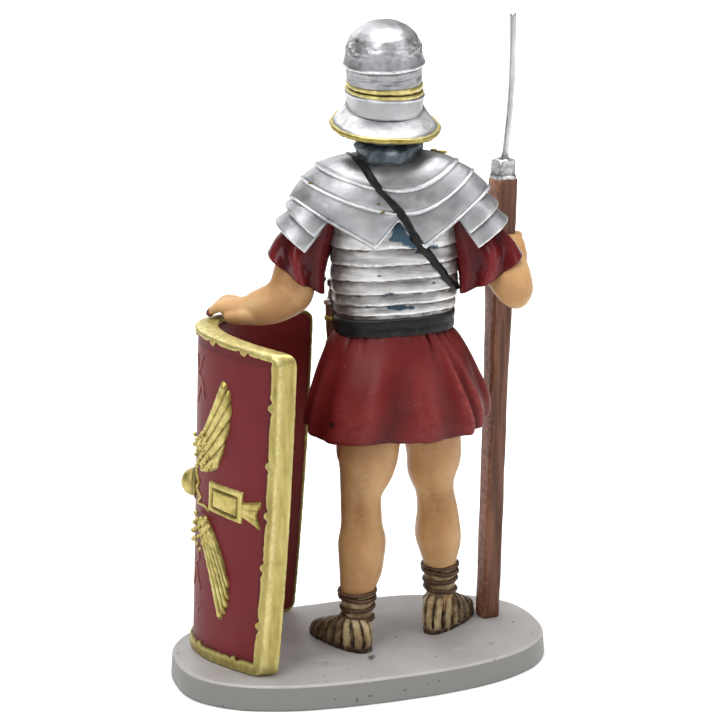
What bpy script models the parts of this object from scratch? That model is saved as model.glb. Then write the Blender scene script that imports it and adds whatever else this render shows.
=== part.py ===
# Painted figurine of a Roman soldier with shield and spear on an oval base.
# Metres, +Z up. The base stands on Z = 0, centred on the origin, with its long side along X.

import math

import bmesh
import bpy
from mathutils import Matrix, Vector
from mathutils.bvhtree import BVHTree

MM = 0.001

# Driving sizes
FIGURE_HEIGHT = 120.0 * MM      # soles to the crown of the helmet
FIGURE_TURN = math.radians(-18.4)  # the soldier stands turned on the base
PIECE_GAP = 0.3 * MM            # between pieces that rest on or stand in each other

BASE_LENGTH = 74.0 * MM
BASE_WIDTH = 41.0 * MM
BASE_THICKNESS = 4.7 * MM
BASE_SQUARENESS = 2.5           # exponent of the oval
BASE_FLARE = 0.5 * MM           # the foot of the edge stands out by this much
BASE_EDGE_ROUND = 0.9 * MM

SHIELD_HEIGHT = 62.4 * MM
SHIELD_CHORD = 37.4 * MM        # straight across the opening
SHIELD_DEPTH = 17.85 * MM       # from the chord out to the face
SHIELD_WALL = 2.6 * MM          # through the middle, and across the edge at each end
SHIELD_TAPER = 0.5 * MM         # how much the inside is narrower at each end
SHIELD_CORNER = 2.0 * MM
SHIELD_BORDER = 2.6 * MM
SHIELD_BORDER_RISE = 0.45 * MM
SHIELD_BEVEL = 1.3 * MM         # the top edge slopes down to the face by this much
SHIELD_BOSS = 6.2 * MM          # diameter of the dome
SHIELD_RELIEF = 0.55 * MM       # how far wings and bolts stand out
SHIELD_CURVE = 2.05             # exponent of the bend, 2 gives a parabola
SHIELD_TURN = math.radians(-3.3)
SHIELD_LEAN = Vector((-2.3, 0.6, 0.0)) * MM  # how far the top leans over

SHAFT_LENGTH = 89.0 * MM
SHAFT_FOOT_SIDE = 3.85 * MM
SHAFT_MIDDLE_SIDE = 3.95 * MM
SHAFT_TOP_SIDE = 4.6 * MM
SHAFT_CORNER = 0.24             # share of the side that the rounded corner takes
SHAFT_TURN = math.radians(28.0)
CAP_HEIGHT = 3.9 * MM
CAP_SIDE = 3.7 * MM
SHANK_DIAMETER = 1.2 * MM
SHANK_LENGTH = 27.4 * MM        # the part that shows above the cap
SHANK_SEAT = 2.4 * MM           # the part that stands in the cap
SHANK_BOW = 0.5 * MM
SHANK_OFFSET = 0.2 * MM         # the wire stands off the middle of the cap
SHANK_LEAN = 0.6 * MM           # and its top leans out by this much
GRIP_CLEARANCE = 0.3 * MM       # between the shaft and the fist around it

# The figure keeps its pose and proportions as shares of its height.
# One unit is a 120th of the height, and heights are counted from the soles.
UNIT = FIGURE_HEIGHT / 120.0
STANDING_HEIGHT = BASE_THICKNESS + PIECE_GAP
SHIELD_PLACE = Vector((15.1, 2.4, 0.0)) * UNIT
SHAFT_FOOT = Vector((-25.7, -11.9, 0.0)) * UNIT
FIST = Vector((-27.05, -12.0, 74.3)) * UNIT
FLAT_ANGLE = math.radians(3.2)  # faces that meet at less than this are one face
TORSO_CENTRE = (-6.5, -1.5)
TORSO_TILT = -0.05              # the shoulders and the belt rise to the figure's right


def share(x, y, z):
    return Vector((x, y, z)) * UNIT


def unit_turn(degrees):
    angle = math.radians(degrees)
    return Vector((math.cos(angle), math.sin(angle), 0.0))


def power(value, exponent):
    return math.copysign(abs(value) ** exponent, value)


def bump(value, centre, width):
    return math.exp(-((value - centre) / width) ** 2)


def between(value, low, high):
    t = min(max((value - low) / (high - low), 0.0), 1.0)
    return t * t * (3.0 - 2.0 * t)


def make_object(name, mesh):
    thing = bpy.data.objects.new(name, mesh)
    bpy.context.scene.collection.objects.link(thing)
    return thing


def mesh_object(name, bm):
    bmesh.ops.triangulate(bm, faces=bm.faces)
    bmesh.ops.recalc_face_normals(bm, faces=bm.faces)
    mesh = bpy.data.meshes.new(name)
    bm.to_mesh(mesh)
    bm.free()
    return make_object(name, mesh)


def close_with_point(bm, row):
    middle = Vector((0.0, 0.0, 0.0))
    for vert in row:
        middle += vert.co
    tip = bm.verts.new(middle / len(row))
    for i, vert in enumerate(row):
        bm.faces.new((vert, row[(i + 1) % len(row)], tip))


def loft(name, rings):
    """Closed solid through a list of rings with the same number of points."""
    bm = bmesh.new()
    rows = [[bm.verts.new(point) for point in ring] for ring in rings]
    for low, high in zip(rows, rows[1:]):
        for i in range(len(low)):
            j = (i + 1) % len(low)
            bm.faces.new((low[i], low[j], high[j], high[i]))
    close_with_point(bm, rows[0])
    close_with_point(bm, rows[-1])
    return mesh_object(name, bm)


def closed_band(name, sections):
    """Closed solid that runs round through a list of sections and meets itself."""
    bm = bmesh.new()
    rows = [[bm.verts.new(point) for point in section] for section in sections]
    for k, row in enumerate(rows):
        following = rows[(k + 1) % len(rows)]
        for i in range(len(row)):
            j = (i + 1) % len(row)
            bm.faces.new((row[i], row[j], following[j], following[i]))
    return mesh_object(name, bm)


def oval(centre, across, along, half_across, half_along, sides, exponent=2.0, start=0.0):
    points = []
    for i in range(sides):
        angle = start + 2.0 * math.pi * i / sides
        a = power(math.cos(angle), 2.0 / exponent) * half_across
        b = power(math.sin(angle), 2.0 / exponent) * half_along
        points.append(centre + across * a + along * b)
    return points


def limb(name, stations, sides, across=Vector((1.0, 0.0, 0.0))):
    """Tube through stations of (point, half width, half depth), all in figure units."""
    points = [share(*station[0]) for station in stations]
    rings = []
    for k, station in enumerate(stations):
        ahead = points[min(k + 1, len(points) - 1)] - points[max(k - 1, 0)]
        ahead.normalize()
        side = (across - ahead * across.dot(ahead)).normalized()
        depth = ahead.cross(side)
        rings.append(oval(points[k], side, depth, station[1] * UNIT, station[2] * UNIT, sides))
    return loft(name, rings)


def fuse(name, forms):
    """One solid from overlapping forms."""
    print(name, sum(len(form.data.polygons) for form in forms), "triangles in the forms")
    others = bpy.data.collections.new(name + "_forms")
    for form in forms[1:]:
        others.objects.link(form)
    first = forms[0]
    union = first.modifiers.new("union", "BOOLEAN")
    union.operation = "UNION"
    union.solver = "EXACT"
    union.operand_type = "COLLECTION"
    union.collection = others
    bpy.context.view_layer.update()
    evaluated = first.evaluated_get(bpy.context.evaluated_depsgraph_get())
    mesh = bpy.data.meshes.new_from_object(evaluated)
    mesh.name = name
    for form in forms:
        bpy.data.objects.remove(form)
    bpy.data.collections.remove(others)
    return make_object(name, mesh)


def tidy(thing):
    """Merges the flat scraps that a union leaves."""
    bm = bmesh.new()
    bm.from_mesh(thing.data)
    bmesh.ops.dissolve_limit(bm, angle_limit=FLAT_ANGLE, verts=bm.verts, edges=bm.edges)
    bmesh.ops.triangulate(bm, faces=bm.faces)
    bm.to_mesh(thing.data)
    bm.free()


def cut(thing, cutter):
    """Takes the cutter's shape out of a solid."""
    hole = thing.modifiers.new("hole", "BOOLEAN")
    hole.operation = "DIFFERENCE"
    hole.solver = "EXACT"
    hole.object = cutter
    bpy.context.view_layer.update()
    evaluated = thing.evaluated_get(bpy.context.evaluated_depsgraph_get())
    mesh = bpy.data.meshes.new_from_object(evaluated)
    thing.modifiers.clear()
    thing.data = mesh
    bpy.data.objects.remove(cutter)


def paint(thing, name, colour, roughness, metallic):
    material = bpy.data.materials.new(name)
    material.use_nodes = True
    shader = material.node_tree.nodes["Principled BSDF"]
    shader.inputs["Base Color"].default_value = (*colour, 1.0)
    shader.inputs["Roughness"].default_value = roughness
    shader.inputs["Metallic"].default_value = metallic
    material.diffuse_color = (*colour, 1.0)
    thing.data.materials.clear()
    thing.data.materials.append(material)


# Base

def base():
    sides = 40
    right = Vector((1.0, 0.0, 0.0))
    back = Vector((0.0, 1.0, 0.0))
    steps = 2
    profile = [(0.0, BASE_FLARE - 0.3 * MM), (0.5 * MM, BASE_FLARE)]
    for k in range(steps + 1):
        angle = 0.5 * math.pi * k / steps
        height = BASE_THICKNESS - BASE_EDGE_ROUND * (1.0 - math.sin(angle))
        profile.append((height, -BASE_EDGE_ROUND * (1.0 - math.cos(angle))))
    rings = []
    for height, out in profile:
        centre = Vector((0.0, 0.0, height))
        half_length = 0.5 * BASE_LENGTH + out
        half_width = 0.5 * BASE_WIDTH + out
        rings.append(oval(centre, right, back, half_length, half_width, sides, BASE_SQUARENESS))
    return loft("base", rings)


# Legs and sandals

LEFT_LEG = {
    "heel": (-1.4, 7.9),
    "toes_point_to": -52.0,
    "ankle_height": 5.4,
    "ropes": (6.0, 8.0, 10.1),
    "stations": [
        ((0.5, 3.4, 3.0), 2.6, 2.9),
        ((0.5, 3.4, 11.6), 3.3, 3.5),
        ((-0.1, 2.9, 15.6), 4.2, 4.4),
        ((-0.4, 2.5, 20.7), 4.6, 4.8),
        ((-0.3, 1.7, 24.8), 3.9, 4.3),
        ((-0.2, 0.9, 29.8), 4.05, 4.3),
        ((-1.2, 0.4, 34.9), 5.3, 5.3),
        ((-1.5, 0.0, 38.9), 6.1, 6.0),
        ((-2.0, -0.6, 50.0), 6.2, 6.4),
    ],
}
RIGHT_LEG = {
    "heel": (-13.6, -1.6),
    "toes_point_to": -119.0,
    "ankle_height": 6.6,
    "ropes": (8.6, 10.5, 12.3),
    "stations": [
        ((-15.9, -5.4, 4.0), 2.5, 2.8),
        ((-15.75, -5.4, 13.4), 3.2, 3.3),
        ((-15.55, -5.0, 17.7), 4.15, 4.2),
        ((-15.2, -4.8, 20.8), 4.45, 4.6),
        ((-15.1, -5.2, 25.0), 3.9, 4.2),
        ((-14.5, -5.2, 29.1), 3.65, 4.1),
        ((-14.05, -4.6, 33.1), 4.85, 4.9),
        ((-14.2, -3.8, 38.0), 5.4, 5.5),
        ((-12.4, -2.0, 50.0), 6.0, 6.2),
    ],
}
FOOT_LENGTH = 16.4
SOLE_THICKNESS = 0.9
STRAP_RISE = 0.42
STRAP_COUNT = 11


def leg(name, values):
    """Leg with the ankle ropes as three swellings."""
    stations = values["stations"]
    ankle, calf = stations[0], stations[1]
    turns = []
    for height in values["ropes"]:
        t = (height - ankle[0][2]) / (calf[0][2] - ankle[0][2])
        x = ankle[0][0] + t * (calf[0][0] - ankle[0][0])
        y = ankle[0][1] + t * (calf[0][1] - ankle[0][1])
        width = ankle[1] + t * (calf[1] - ankle[1])
        depth = ankle[2] + t * (calf[2] - ankle[2])
        turns.append(((x, y, height - 0.9), width, depth))
        turns.append(((x, y, height), width + 0.55, depth + 0.55))
    return limb(name, [ankle] + turns + stations[1:], 10)


def foot_outline(values, height, start, length, half_width, ridge):
    """Plan outline of the foot at one height, with the straps as ridges."""
    ahead = unit_turn(values["toes_point_to"])
    side = Vector((-ahead.y, ahead.x, 0.0))
    heel = share(values["heel"][0], values["heel"][1], height)
    points = []
    columns = 2 * STRAP_COUNT
    for i in range(columns):
        angle = 2.0 * math.pi * i / columns
        s = 0.5 - 0.5 * math.cos(angle)
        wide = half_width * power(math.sin(angle), 0.75) * (0.84 + 0.24 * s)
        along = start + length * s
        out = ridge if i % 2 else 0.0
        along -= out * math.cos(angle)
        wide += out * math.sin(angle)
        points.append(heel + ahead * along * UNIT + side * wide * UNIT)
    return points


def sandal(name, values):
    top = values["ankle_height"]
    levels = [
        (0.0, -0.1, 1.02, 3.6, 0.0),
        (SOLE_THICKNESS, -0.1, 1.02, 3.6, 0.0),
        (SOLE_THICKNESS + 0.1, 0.2, 0.98, 3.05, STRAP_RISE),
        (0.42 * top, 0.1, 0.92, 3.0, STRAP_RISE),
        (0.76 * top, 0.5, 0.62, 2.8, STRAP_RISE),
        (1.0 * top, 0.9, 0.42, 2.6, STRAP_RISE),
        (1.0 * top + 0.7, 1.4, 0.34, 2.2, 0.0),
    ]
    rings = []
    for height, start, length, half_width, ridge in levels:
        rings.append(foot_outline(values, height, start, length * FOOT_LENGTH, half_width, ridge))
    return loft(name, rings)


# Tunic

HEM_HEIGHT = 42.6
SKIRT_TOP = 63.0
SKIRT_LEVELS = [  # share of the way down, centre x, half width, centre y, half depth, fold depth
    (0.0, -6.4, 10.6, -1.5, 7.6, 0.0),
    (0.16, -6.6, 12.7, -1.4, 8.9, 0.25),
    (0.45, -6.9, 14.9, -1.2, 11.1, 0.5),
    (0.78, -7.3, 17.0, -1.0, 12.8, 0.95),
    (0.95, -7.0, 17.4, -1.0, 13.2, 0.95),
    (1.0, -6.9, 16.9, -1.0, 12.8, 0.85),
]


def fold(angle):
    """Folds of the skirt, deeper on the figure's right side."""
    deep = 0.45 + 0.55 * bump(math.cos(angle), -0.75, 0.9)
    wide = math.sin(9.0 * angle + 0.6)
    narrow = 0.45 * math.sin(14.0 * angle + 2.1)
    return deep * (wide + narrow)


def skirt():
    sides = 36
    rings = []
    for down, cx, half_width, cy, half_depth, depth in SKIRT_LEVELS:
        ring = []
        for i in range(sides):
            angle = 2.0 * math.pi * i / sides
            out = depth * fold(angle)
            x = cx + (half_width + out) * power(math.cos(angle), 0.92)
            y = cy + (half_depth + out) * power(math.sin(angle), 0.92)
            z = SKIRT_TOP + (HEM_HEIGHT - SKIRT_TOP) * down
            z += down * (-0.06 * (x + 7.0) - 0.35 * math.sin(3.0 * angle) + 1.5 * math.cos(angle) ** 8)
            ring.append(share(x, y, z))
        rings.append(ring)
    under = []
    for point in rings[-1]:
        middle = share(-7.0, -1.0, HEM_HEIGHT)
        inner = middle + (point - middle) * 0.9
        inner.z = point.z + 1.2 * UNIT
        under.append(inner)
    rings.append(under)
    return loft("skirt", rings)


SLEEVES = {
    "left": [  # centre, half size across the arm, half depth, fold depth
        ((6.0, -1.5, 86.0), 5.4, 5.4, 0.0),
        ((9.6, -1.4, 79.6), 6.1, 6.0, 0.2),
        ((11.7, -1.3, 75.2), 6.5, 6.3, 0.5),
        ((12.1, -1.2, 73.1), 6.5, 6.3, 0.6),
        ((12.0, -1.2, 73.4), 5.6, 5.4, 0.4),
    ],
    "right": [
        ((-19.0, -1.5, 86.0), 5.6, 5.4, 0.0),
        ((-22.2, -1.4, 79.4), 6.4, 6.0, 0.2),
        ((-24.1, -1.1, 75.2), 6.8, 6.2, 0.5),
        ((-24.7, -1.0, 73.0), 6.9, 6.2, 0.6),
        ((-24.6, -1.0, 73.3), 5.9, 5.4, 0.4),
    ],
}
SLEEVE_ACROSS = {"left": Vector((10.0, 0.0, 7.2)), "right": Vector((-11.7, 0.0, 7.3))}


def sleeve(side):
    sides = 12
    across = SLEEVE_ACROSS[side].normalized()
    depth_way = Vector((0.0, 1.0, 0.0))
    rings = []
    for centre, half_across, half_depth, depth in SLEEVES[side]:
        ring = []
        for i in range(sides):
            angle = 2.0 * math.pi * i / sides
            out = depth * math.sin(4.0 * angle + 0.4)
            a = (half_across + out) * math.cos(angle)
            b = (half_depth + out) * math.sin(angle)
            ring.append(share(*centre) + across * a * UNIT + depth_way * b * UNIT)
        rings.append(ring)
    return loft(side + "_sleeve", rings)


# Plate armour and belt

HOOP_EDGES = (66.4, 68.3, 70.4, 73.0, 75.8, 78.9)
HOOP_LIP = 0.42
BELT_BOTTOM = 61.6
BELT_TOP = 66.0
BELT_RISE = 0.55
TORSO_TURN = math.radians(4.0)


def torso_half_width(height):
    return 10.8 + 0.9 * between(height, 62.0, 74.0) - 0.5 * between(height, 76.0, 90.0)


def torso_ring(height, out, sides=20):
    cx, cy = TORSO_CENTRE
    half_width = torso_half_width(height) + out
    half_depth = 7.5 + 0.6 * between(height, 64.0, 82.0) + out
    across = Vector((math.cos(TORSO_TURN), math.sin(TORSO_TURN), 0.0))
    along = Vector((-across.y, across.x, 0.0))
    flat = oval(Vector((cx, cy, height)), across, along, half_width, half_depth, sides, 2.5)
    ring = []
    for point in flat:
        lift = TORSO_TILT * (point.x - cx) * (1.0 - between(height, 72.0, 84.0) * 0.6)
        ring.append(share(point.x, point.y, point.z + lift))
    return ring


def girth():
    """Belly with the belt and the hoops, each hoop's lower edge standing out."""
    rings = [torso_ring(59.5, -1.2), torso_ring(BELT_BOTTOM, -0.6)]
    rings.append(torso_ring(BELT_BOTTOM + 0.1, BELT_RISE))
    rings.append(torso_ring(BELT_TOP - 0.1, BELT_RISE))
    rings.append(torso_ring(BELT_TOP, 0.0))
    for edge in HOOP_EDGES:
        rings.append(torso_ring(edge - 0.05, 0.0))
        rings.append(torso_ring(edge + 0.15, HOOP_LIP))
    rings.append(torso_ring(85.0, -0.3))
    return loft("girth", rings)


YOKE_PLATES = [  # centre x, half width, half depth, lowest x, middle, left end, right end, curve
    {"cx": -4.9, "width": 13.4, "depth": 8.2, "low_x": -7.5, "middle": 89.6, "left": 93.8, "right": 95.4},
    {"cx": -5.0, "width": 16.1, "depth": 8.7, "low_x": -8.5, "middle": 85.4, "left": 91.0, "right": 92.8},
]
YOKE_LAST = {"cx": -5.5, "width": 18.7, "depth": 9.0}
PLATE_TIPS = [(12.2, 87.4), (-2.8, 79.1), (-7.1, 84.6), (-12.0, 79.2), (-24.2, 89.2)]
PLATE_STEP = 0.55
NECK = Vector((-5.2, -2.2, 97.0))
YOKE_SIDES = 30


def curved_edge(plate, x):
    if x > plate["low_x"]:
        s = (x - plate["low_x"]) / (plate["cx"] + plate["width"] - plate["low_x"])
        return plate["middle"] + (plate["left"] - plate["middle"]) * min(s, 1.0) ** 1.7
    s = (plate["low_x"] - x) / (plate["low_x"] - plate["cx"] + plate["width"])
    return plate["middle"] + (plate["right"] - plate["middle"]) * min(s, 1.0) ** 1.9


def cornered_edge(x):
    """Height of the last plates' edge: two corners with a notch between them."""
    if x >= PLATE_TIPS[0][0]:
        return PLATE_TIPS[0][1]
    for (x0, z0), (x1, z1) in zip(PLATE_TIPS, PLATE_TIPS[1:]):
        if x >= x1:
            return z0 + (z1 - z0) * (x - x0) / (x1 - x0)
    return PLATE_TIPS[-1][1]


def yoke_ring(plate, edge, inward, lift):
    cx, cy = plate["cx"], TORSO_CENTRE[1]
    ring = []
    for i in range(YOKE_SIDES):
        angle = 2.0 * math.pi * (i + 0.5) / YOKE_SIDES
        x = cx + (plate["width"] - inward) * power(math.cos(angle), 0.9)
        y = cy + (plate["depth"] - inward) * power(math.sin(angle), 0.9)
        ring.append(share(x, y, edge(x) + lift))
    return ring


def yoke():
    """Shoulder plates, each with its lower edge standing out over the next."""
    collar = {"cx": NECK.x, "width": 5.6, "depth": 5.6}
    rings = [yoke_ring(collar, lambda x: 95.7 - 0.05 * x, 0.0, 0.0)]
    for plate in YOKE_PLATES:
        rings.append(yoke_ring(plate, lambda x: curved_edge(plate, x), 0.0, 0.0))
        rings.append(yoke_ring(plate, lambda x: curved_edge(plate, x), PLATE_STEP, -0.25))
    rings.append(yoke_ring(YOKE_LAST, cornered_edge, 0.0, 0.0))
    rings.append(yoke_ring(YOKE_LAST, cornered_edge, 1.5, -0.3))
    rings.append(yoke_ring({"cx": -6.0, "width": 8.0, "depth": 4.0}, lambda x: 82.0, 0.0, 0.0))
    return loft("yoke", rings)


ARM_PLATES = [  # lower end's centre, half height of the arch, half depth, way the arch points
    {"name": "left_plate_4", "end": (8.5, -1.5, 80.9), "up": 6.6, "deep": 6.2, "way": (4.9, 0.0, 4.4)},
    {"name": "left_plate_5", "end": (10.3, -1.5, 78.0), "up": 6.6, "deep": 6.0, "way": (4.9, 0.0, 4.1)},
    {"name": "right_plate_4", "end": (-20.3, -1.5, 81.6), "up": 6.5, "deep": 6.2, "way": (-5.0, 0.0, 4.1)},
    {"name": "right_plate_5", "end": (-22.0, -1.5, 78.9), "up": 6.4, "deep": 6.0, "way": (-5.0, 0.0, 3.8)},
]


def arm_plate(values):
    """Arched band over the shoulder, filled down to the line between its ends."""
    up = Vector(values["way"]).normalized()
    down_arm = Vector((abs(up.z) * math.copysign(1.0, up.x), 0.0, -abs(up.x)))
    back = Vector((0.0, 1.0, 0.0))
    rings = []
    for along, grow in ((-5.0, -1.0), (-0.25, 0.3), (0.0, 0.2), (0.1, -0.3)):
        centre = share(*values["end"]) + down_arm * along * UNIT
        ring = []
        steps = 6
        for i in range(steps + 1):
            angle = math.pi * i / steps
            a = (values["up"] + grow) * power(math.sin(angle), 0.85)
            b = (values["deep"] + grow) * power(math.cos(angle), 0.85)
            ring.append(centre + up * a * UNIT + back * b * UNIT)
        rings.append(ring)
    return loft(values["name"], rings)


# Arms and hands

LEFT_ARM = [
    ((10.6, -1.3, 80.0), 4.3, 4.4),
    ((12.2, -0.6, 74.0), 4.3, 4.3),
    ((12.9, 0.0, 69.6), 4.3, 4.2),
]
RIGHT_ARM = [
    ((-23.6, -1.2, 80.0), 4.4, 4.4),
    ((-26.8, 0.2, 74.6), 4.1, 4.2),
    ((-28.7, 1.0, 71.0), 3.8, 3.8),
    ((-29.1, 0.4, 68.8), 3.1, 3.2),
    ((-29.0, -0.4, 67.4), 1.5, 1.7),
]
RIGHT_FOREARM = [
    ((-28.9, 1.6, 69.6), 2.6, 2.6),
    ((-29.0, -0.6, 70.3), 3.5, 3.5),
    ((-29.2, -3.6, 71.9), 3.2, 3.3),
    ((-29.2, -6.6, 73.3), 2.7, 2.8),
    ((-28.9, -9.0, 74.1), 2.4, 3.0),
]
FINGER_COUNT = 4


def shaft_axis(height):
    """Point on the middle line of the shaft: it stands on its foot and runs through the fist."""
    return SHAFT_FOOT + (FIST - SHAFT_FOOT) * (height / FIST.z)


def shaft_side(height):
    """The shaft is even below the grip and swells above it."""
    if height < 0.5 * SHAFT_LENGTH:
        t = height / (0.5 * SHAFT_LENGTH)
        return SHAFT_FOOT_SIDE + (SHAFT_MIDDLE_SIDE - SHAFT_FOOT_SIDE) * t
    t = between(height, 0.5 * SHAFT_LENGTH, 0.88 * SHAFT_LENGTH)
    return SHAFT_MIDDLE_SIDE + (SHAFT_TOP_SIDE - SHAFT_MIDDLE_SIDE) * t


def squared_ring(centre, side, corner=SHAFT_CORNER):
    """Square section with chamfer-rounded corners, turned as the shaft is."""
    across = Vector((math.cos(SHAFT_TURN), math.sin(SHAFT_TURN), 0.0))
    along = Vector((-across.y, across.x, 0.0))
    half = 0.5 * side
    near = half - corner * side
    middle = half - 0.3 * corner * side
    points = []
    for k in range(4):
        for a, b in ((half, -near), (half, near), (middle, middle)):
            for _ in range(k):
                a, b = -b, a
            points.append(centre + across * a + along * b)
    return points


def fist():
    """Closed hand round the shaft: a back of the hand, four fingers and a thumb."""
    centre = FIST / UNIT
    reach = 0.5 * shaft_side(FIST.z) / UNIT * 1.25
    wall = 1.7
    forms = []
    palm = []
    for dz, grow in ((-4.3, -0.9), (-3.4, 0.0), (0.0, 0.35), (2.6, -0.3), (4.2, -1.3)):
        middle = share(centre.x - 0.35, centre.y + 0.2, centre.z + dz)
        half = (reach + wall + grow) * UNIT
        palm.append(oval(middle, Vector((1, 0, 0)), Vector((0, 1, 0)), half, half * 1.02, 10, 2.4))
    forms.append(loft("palm", palm))
    for k in range(FINGER_COUNT):
        z = centre.z + 3.0 - 2.0 * k
        out = reach + wall + 0.05
        bend = []
        for degrees in (-150.0, -100.0, -55.0, -15.0):
            way = unit_turn(degrees)
            bend.append(((centre.x + way.x * out, centre.y + way.y * out, z), 0.95, 0.8))
        forms.append(limb("finger_%d" % k, bend, 6, Vector((0, 0, 1))))
    thumb = []
    for degrees, rise in ((120.0, 2.2), (75.0, 3.2), (35.0, 3.9), (5.0, 4.0)):
        way = unit_turn(degrees)
        out = reach + wall - 0.15
        thumb.append(((centre.x + way.x * out, centre.y + way.y * out, centre.z + rise), 1.15, 0.95))
    forms.append(limb("thumb", thumb, 6, Vector((0, 0, 1))))
    return forms


def rim_place(sideways, rise):
    """A place on the top of the shield's wall at its outermost bend, in figure units."""
    point = shield_matrix() @ inside_point(sideways, SHIELD_HEIGHT, 0.5 * SHIELD_WALL)
    return (point + Vector((0.0, 0.0, rise + PIECE_GAP))) / UNIT


def resting_hand():
    """Left forearm and loosely closed hand that rests on the shield's rim."""
    rim = rim_place(0.0, 0.0)
    back = Vector((rim.x - 29.7, rim.y - 1.2, rim.z - 62.3))

    def at(x, y, z):
        return (x + back.x, y + back.y, z + back.z)

    elbow = LEFT_ARM[-1]
    half_way = [0.5 * (elbow[0][i] + at(20.4, 1.0, 67.1)[i]) for i in range(3)]
    forearm = [
        ((elbow[0][0] - 1.3, elbow[0][1] + 0.3, elbow[0][2] + 1.8), 3.4, 3.5),
        (elbow[0], 4.4, 4.3),
        ((half_way[0], half_way[1], half_way[2] - 0.9), 4.0, 3.8),
        (at(20.4, 1.0, 67.1), 3.4, 3.2),
        (at(22.6, 1.0, 66.6), 2.7, 2.5),
        (at(24.8, 0.8, 66.1), 3.2, 2.4),
        (at(27.0, 0.4, 65.2), 3.5, 2.1),
        (at(28.8, 0.1, 64.5), 3.2, 1.5),
    ]
    forms = [limb("left_forearm", forearm, 10, Vector((0, 1, 0)))]
    for k in range(FINGER_COUNT):
        y = 2.9 - 1.85 * k
        knuckle = at(26.6, y - 0.3, 65.9)
        middle = at(28.8, y - 0.5, 65.2)
        low = at(29.9, y - 0.6, 63.9)
        tip = at(29.8, y - 0.6, 62.6 + 0.25)
        finger = [(knuckle, 0.95, 0.9), (middle, 1.0, 0.95), (low, 0.95, 0.9), (tip, 0.7, 0.6)]
        forms.append(limb("left_finger_%d" % k, finger, 6, Vector((0, 1, 0))))
    thumb = [(at(23.6, 3.0, 66.2), 1.2, 1.1), (at(25.6, 4.0, 65.2), 1.15, 1.05)]
    thumb += [(at(27.6, 4.6, 64.3), 1.0, 0.95), (at(29.0, 4.7, 63.5), 0.7, 0.6)]
    forms.append(limb("left_thumb", thumb, 6, Vector((0, 0, 1))))
    return forms


# Head and helmet

HEAD = Vector((-4.6, -3.1, 110.0))
HELMET = Vector((-4.5, -2.6, 108.0))
HELMET_TILT = math.radians(-7.0)
BOWL_LEVELS = [  # height over the gold ring, half width, half depth
    (-4.8, 6.9, 7.8),
    (-0.6, 7.5, 8.4),
    (-0.3, 7.0, 8.0),
    (0.2, 7.6, 8.5),
    (0.7, 7.0, 8.0),
    (3.5, 7.0, 8.2),
    (3.9, 7.6, 8.6),
    (7.2, 6.9, 8.2),
    (9.4, 5.9, 7.1),
    (11.0, 4.2, 5.2),
    (11.8, 2.2, 2.8),
]


def on_helmet(x, y, z):
    """Point given across, back and up from the middle of the helmet's gold ring."""
    turned = Matrix.Rotation(HELMET_TILT, 3, "X") @ Vector((x, y, z))
    return (HELMET + turned) * UNIT


def helmet_bowl():
    sides = 18
    rings = []
    for height, half_width, half_depth in BOWL_LEVELS:
        ring = []
        for i in range(sides):
            angle = 2.0 * math.pi * i / sides
            y = half_depth * math.sin(angle)
            cheek = between(-y, 1.0, 5.0) * between(-height, -1.5, 2.5)
            x = half_width * math.cos(angle)
            ring.append(on_helmet(x * (1.0 - 0.12 * cheek), y * (1.0 - 0.3 * cheek), height))
        rings.append(ring)
    return loft("helmet_bowl", rings)


def neck_guard():
    """Flared guard round the back of the neck with a beaded rim."""
    steps = 10
    rings = []
    for i in range(steps + 1):
        degrees = -12.0 + 204.0 * i / steps
        way = unit_turn(degrees)
        fade = min(i, steps - i) / steps * 8.0
        spread = min(1.0, 0.5 + 0.5 * fade)
        root = 6.4
        edge = root + (4.4 + 1.4 * way.y) * spread
        drop = -7.3 + 0.9 * (1.0 - spread)
        profile = [
            (root, -3.2), (root + 0.7, -4.6), (edge - 0.6, drop + 0.75), (edge + 0.2, drop + 0.7),
            (edge + 0.45, drop), (edge - 0.3, drop - 0.5), (root, -5.9),
        ]
        rings.append([on_helmet(r * way.x * 0.99, r * way.y, z) for r, z in profile])
    return loft("neck_guard", rings)


def brow_guard():
    steps = 6
    rings = []
    for i in range(steps + 1):
        way = unit_turn(-150.0 + 120.0 * i / steps)
        profile = [(7.4, 3.6), (9.1, 3.2), (9.2, 2.5), (7.2, 2.3)]
        rings.append([on_helmet(r * way.x * 0.88, r * way.y, z) for r, z in profile])
    return loft("brow_guard", rings)


def cheek_plate(name, side):
    """Hinged plate that hangs in front of the ear down to the jaw."""
    outline = [(3.4, 0.4), (3.0, -4.2), (5.2, -7.6), (7.6, -8.6), (8.2, -6.6), (6.9, -4.0), (7.6, -1.6), (6.8, 0.4)]
    rings = []
    for rise in (-0.9, 0.5, 0.75):
        ring = []
        for forward, z in outline:
            hug = 6.9 - 0.045 * forward ** 2 + 0.09 * min(z, 0.0) + rise
            shrink = 0.92 if rise > 0.6 else 1.0
            y = -5.8 + (5.8 - forward) * shrink
            ring.append(on_helmet(side * hug, y, -4.0 + (z + 4.0) * shrink))
        rings.append(ring)
    return loft(name, rings)


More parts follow.
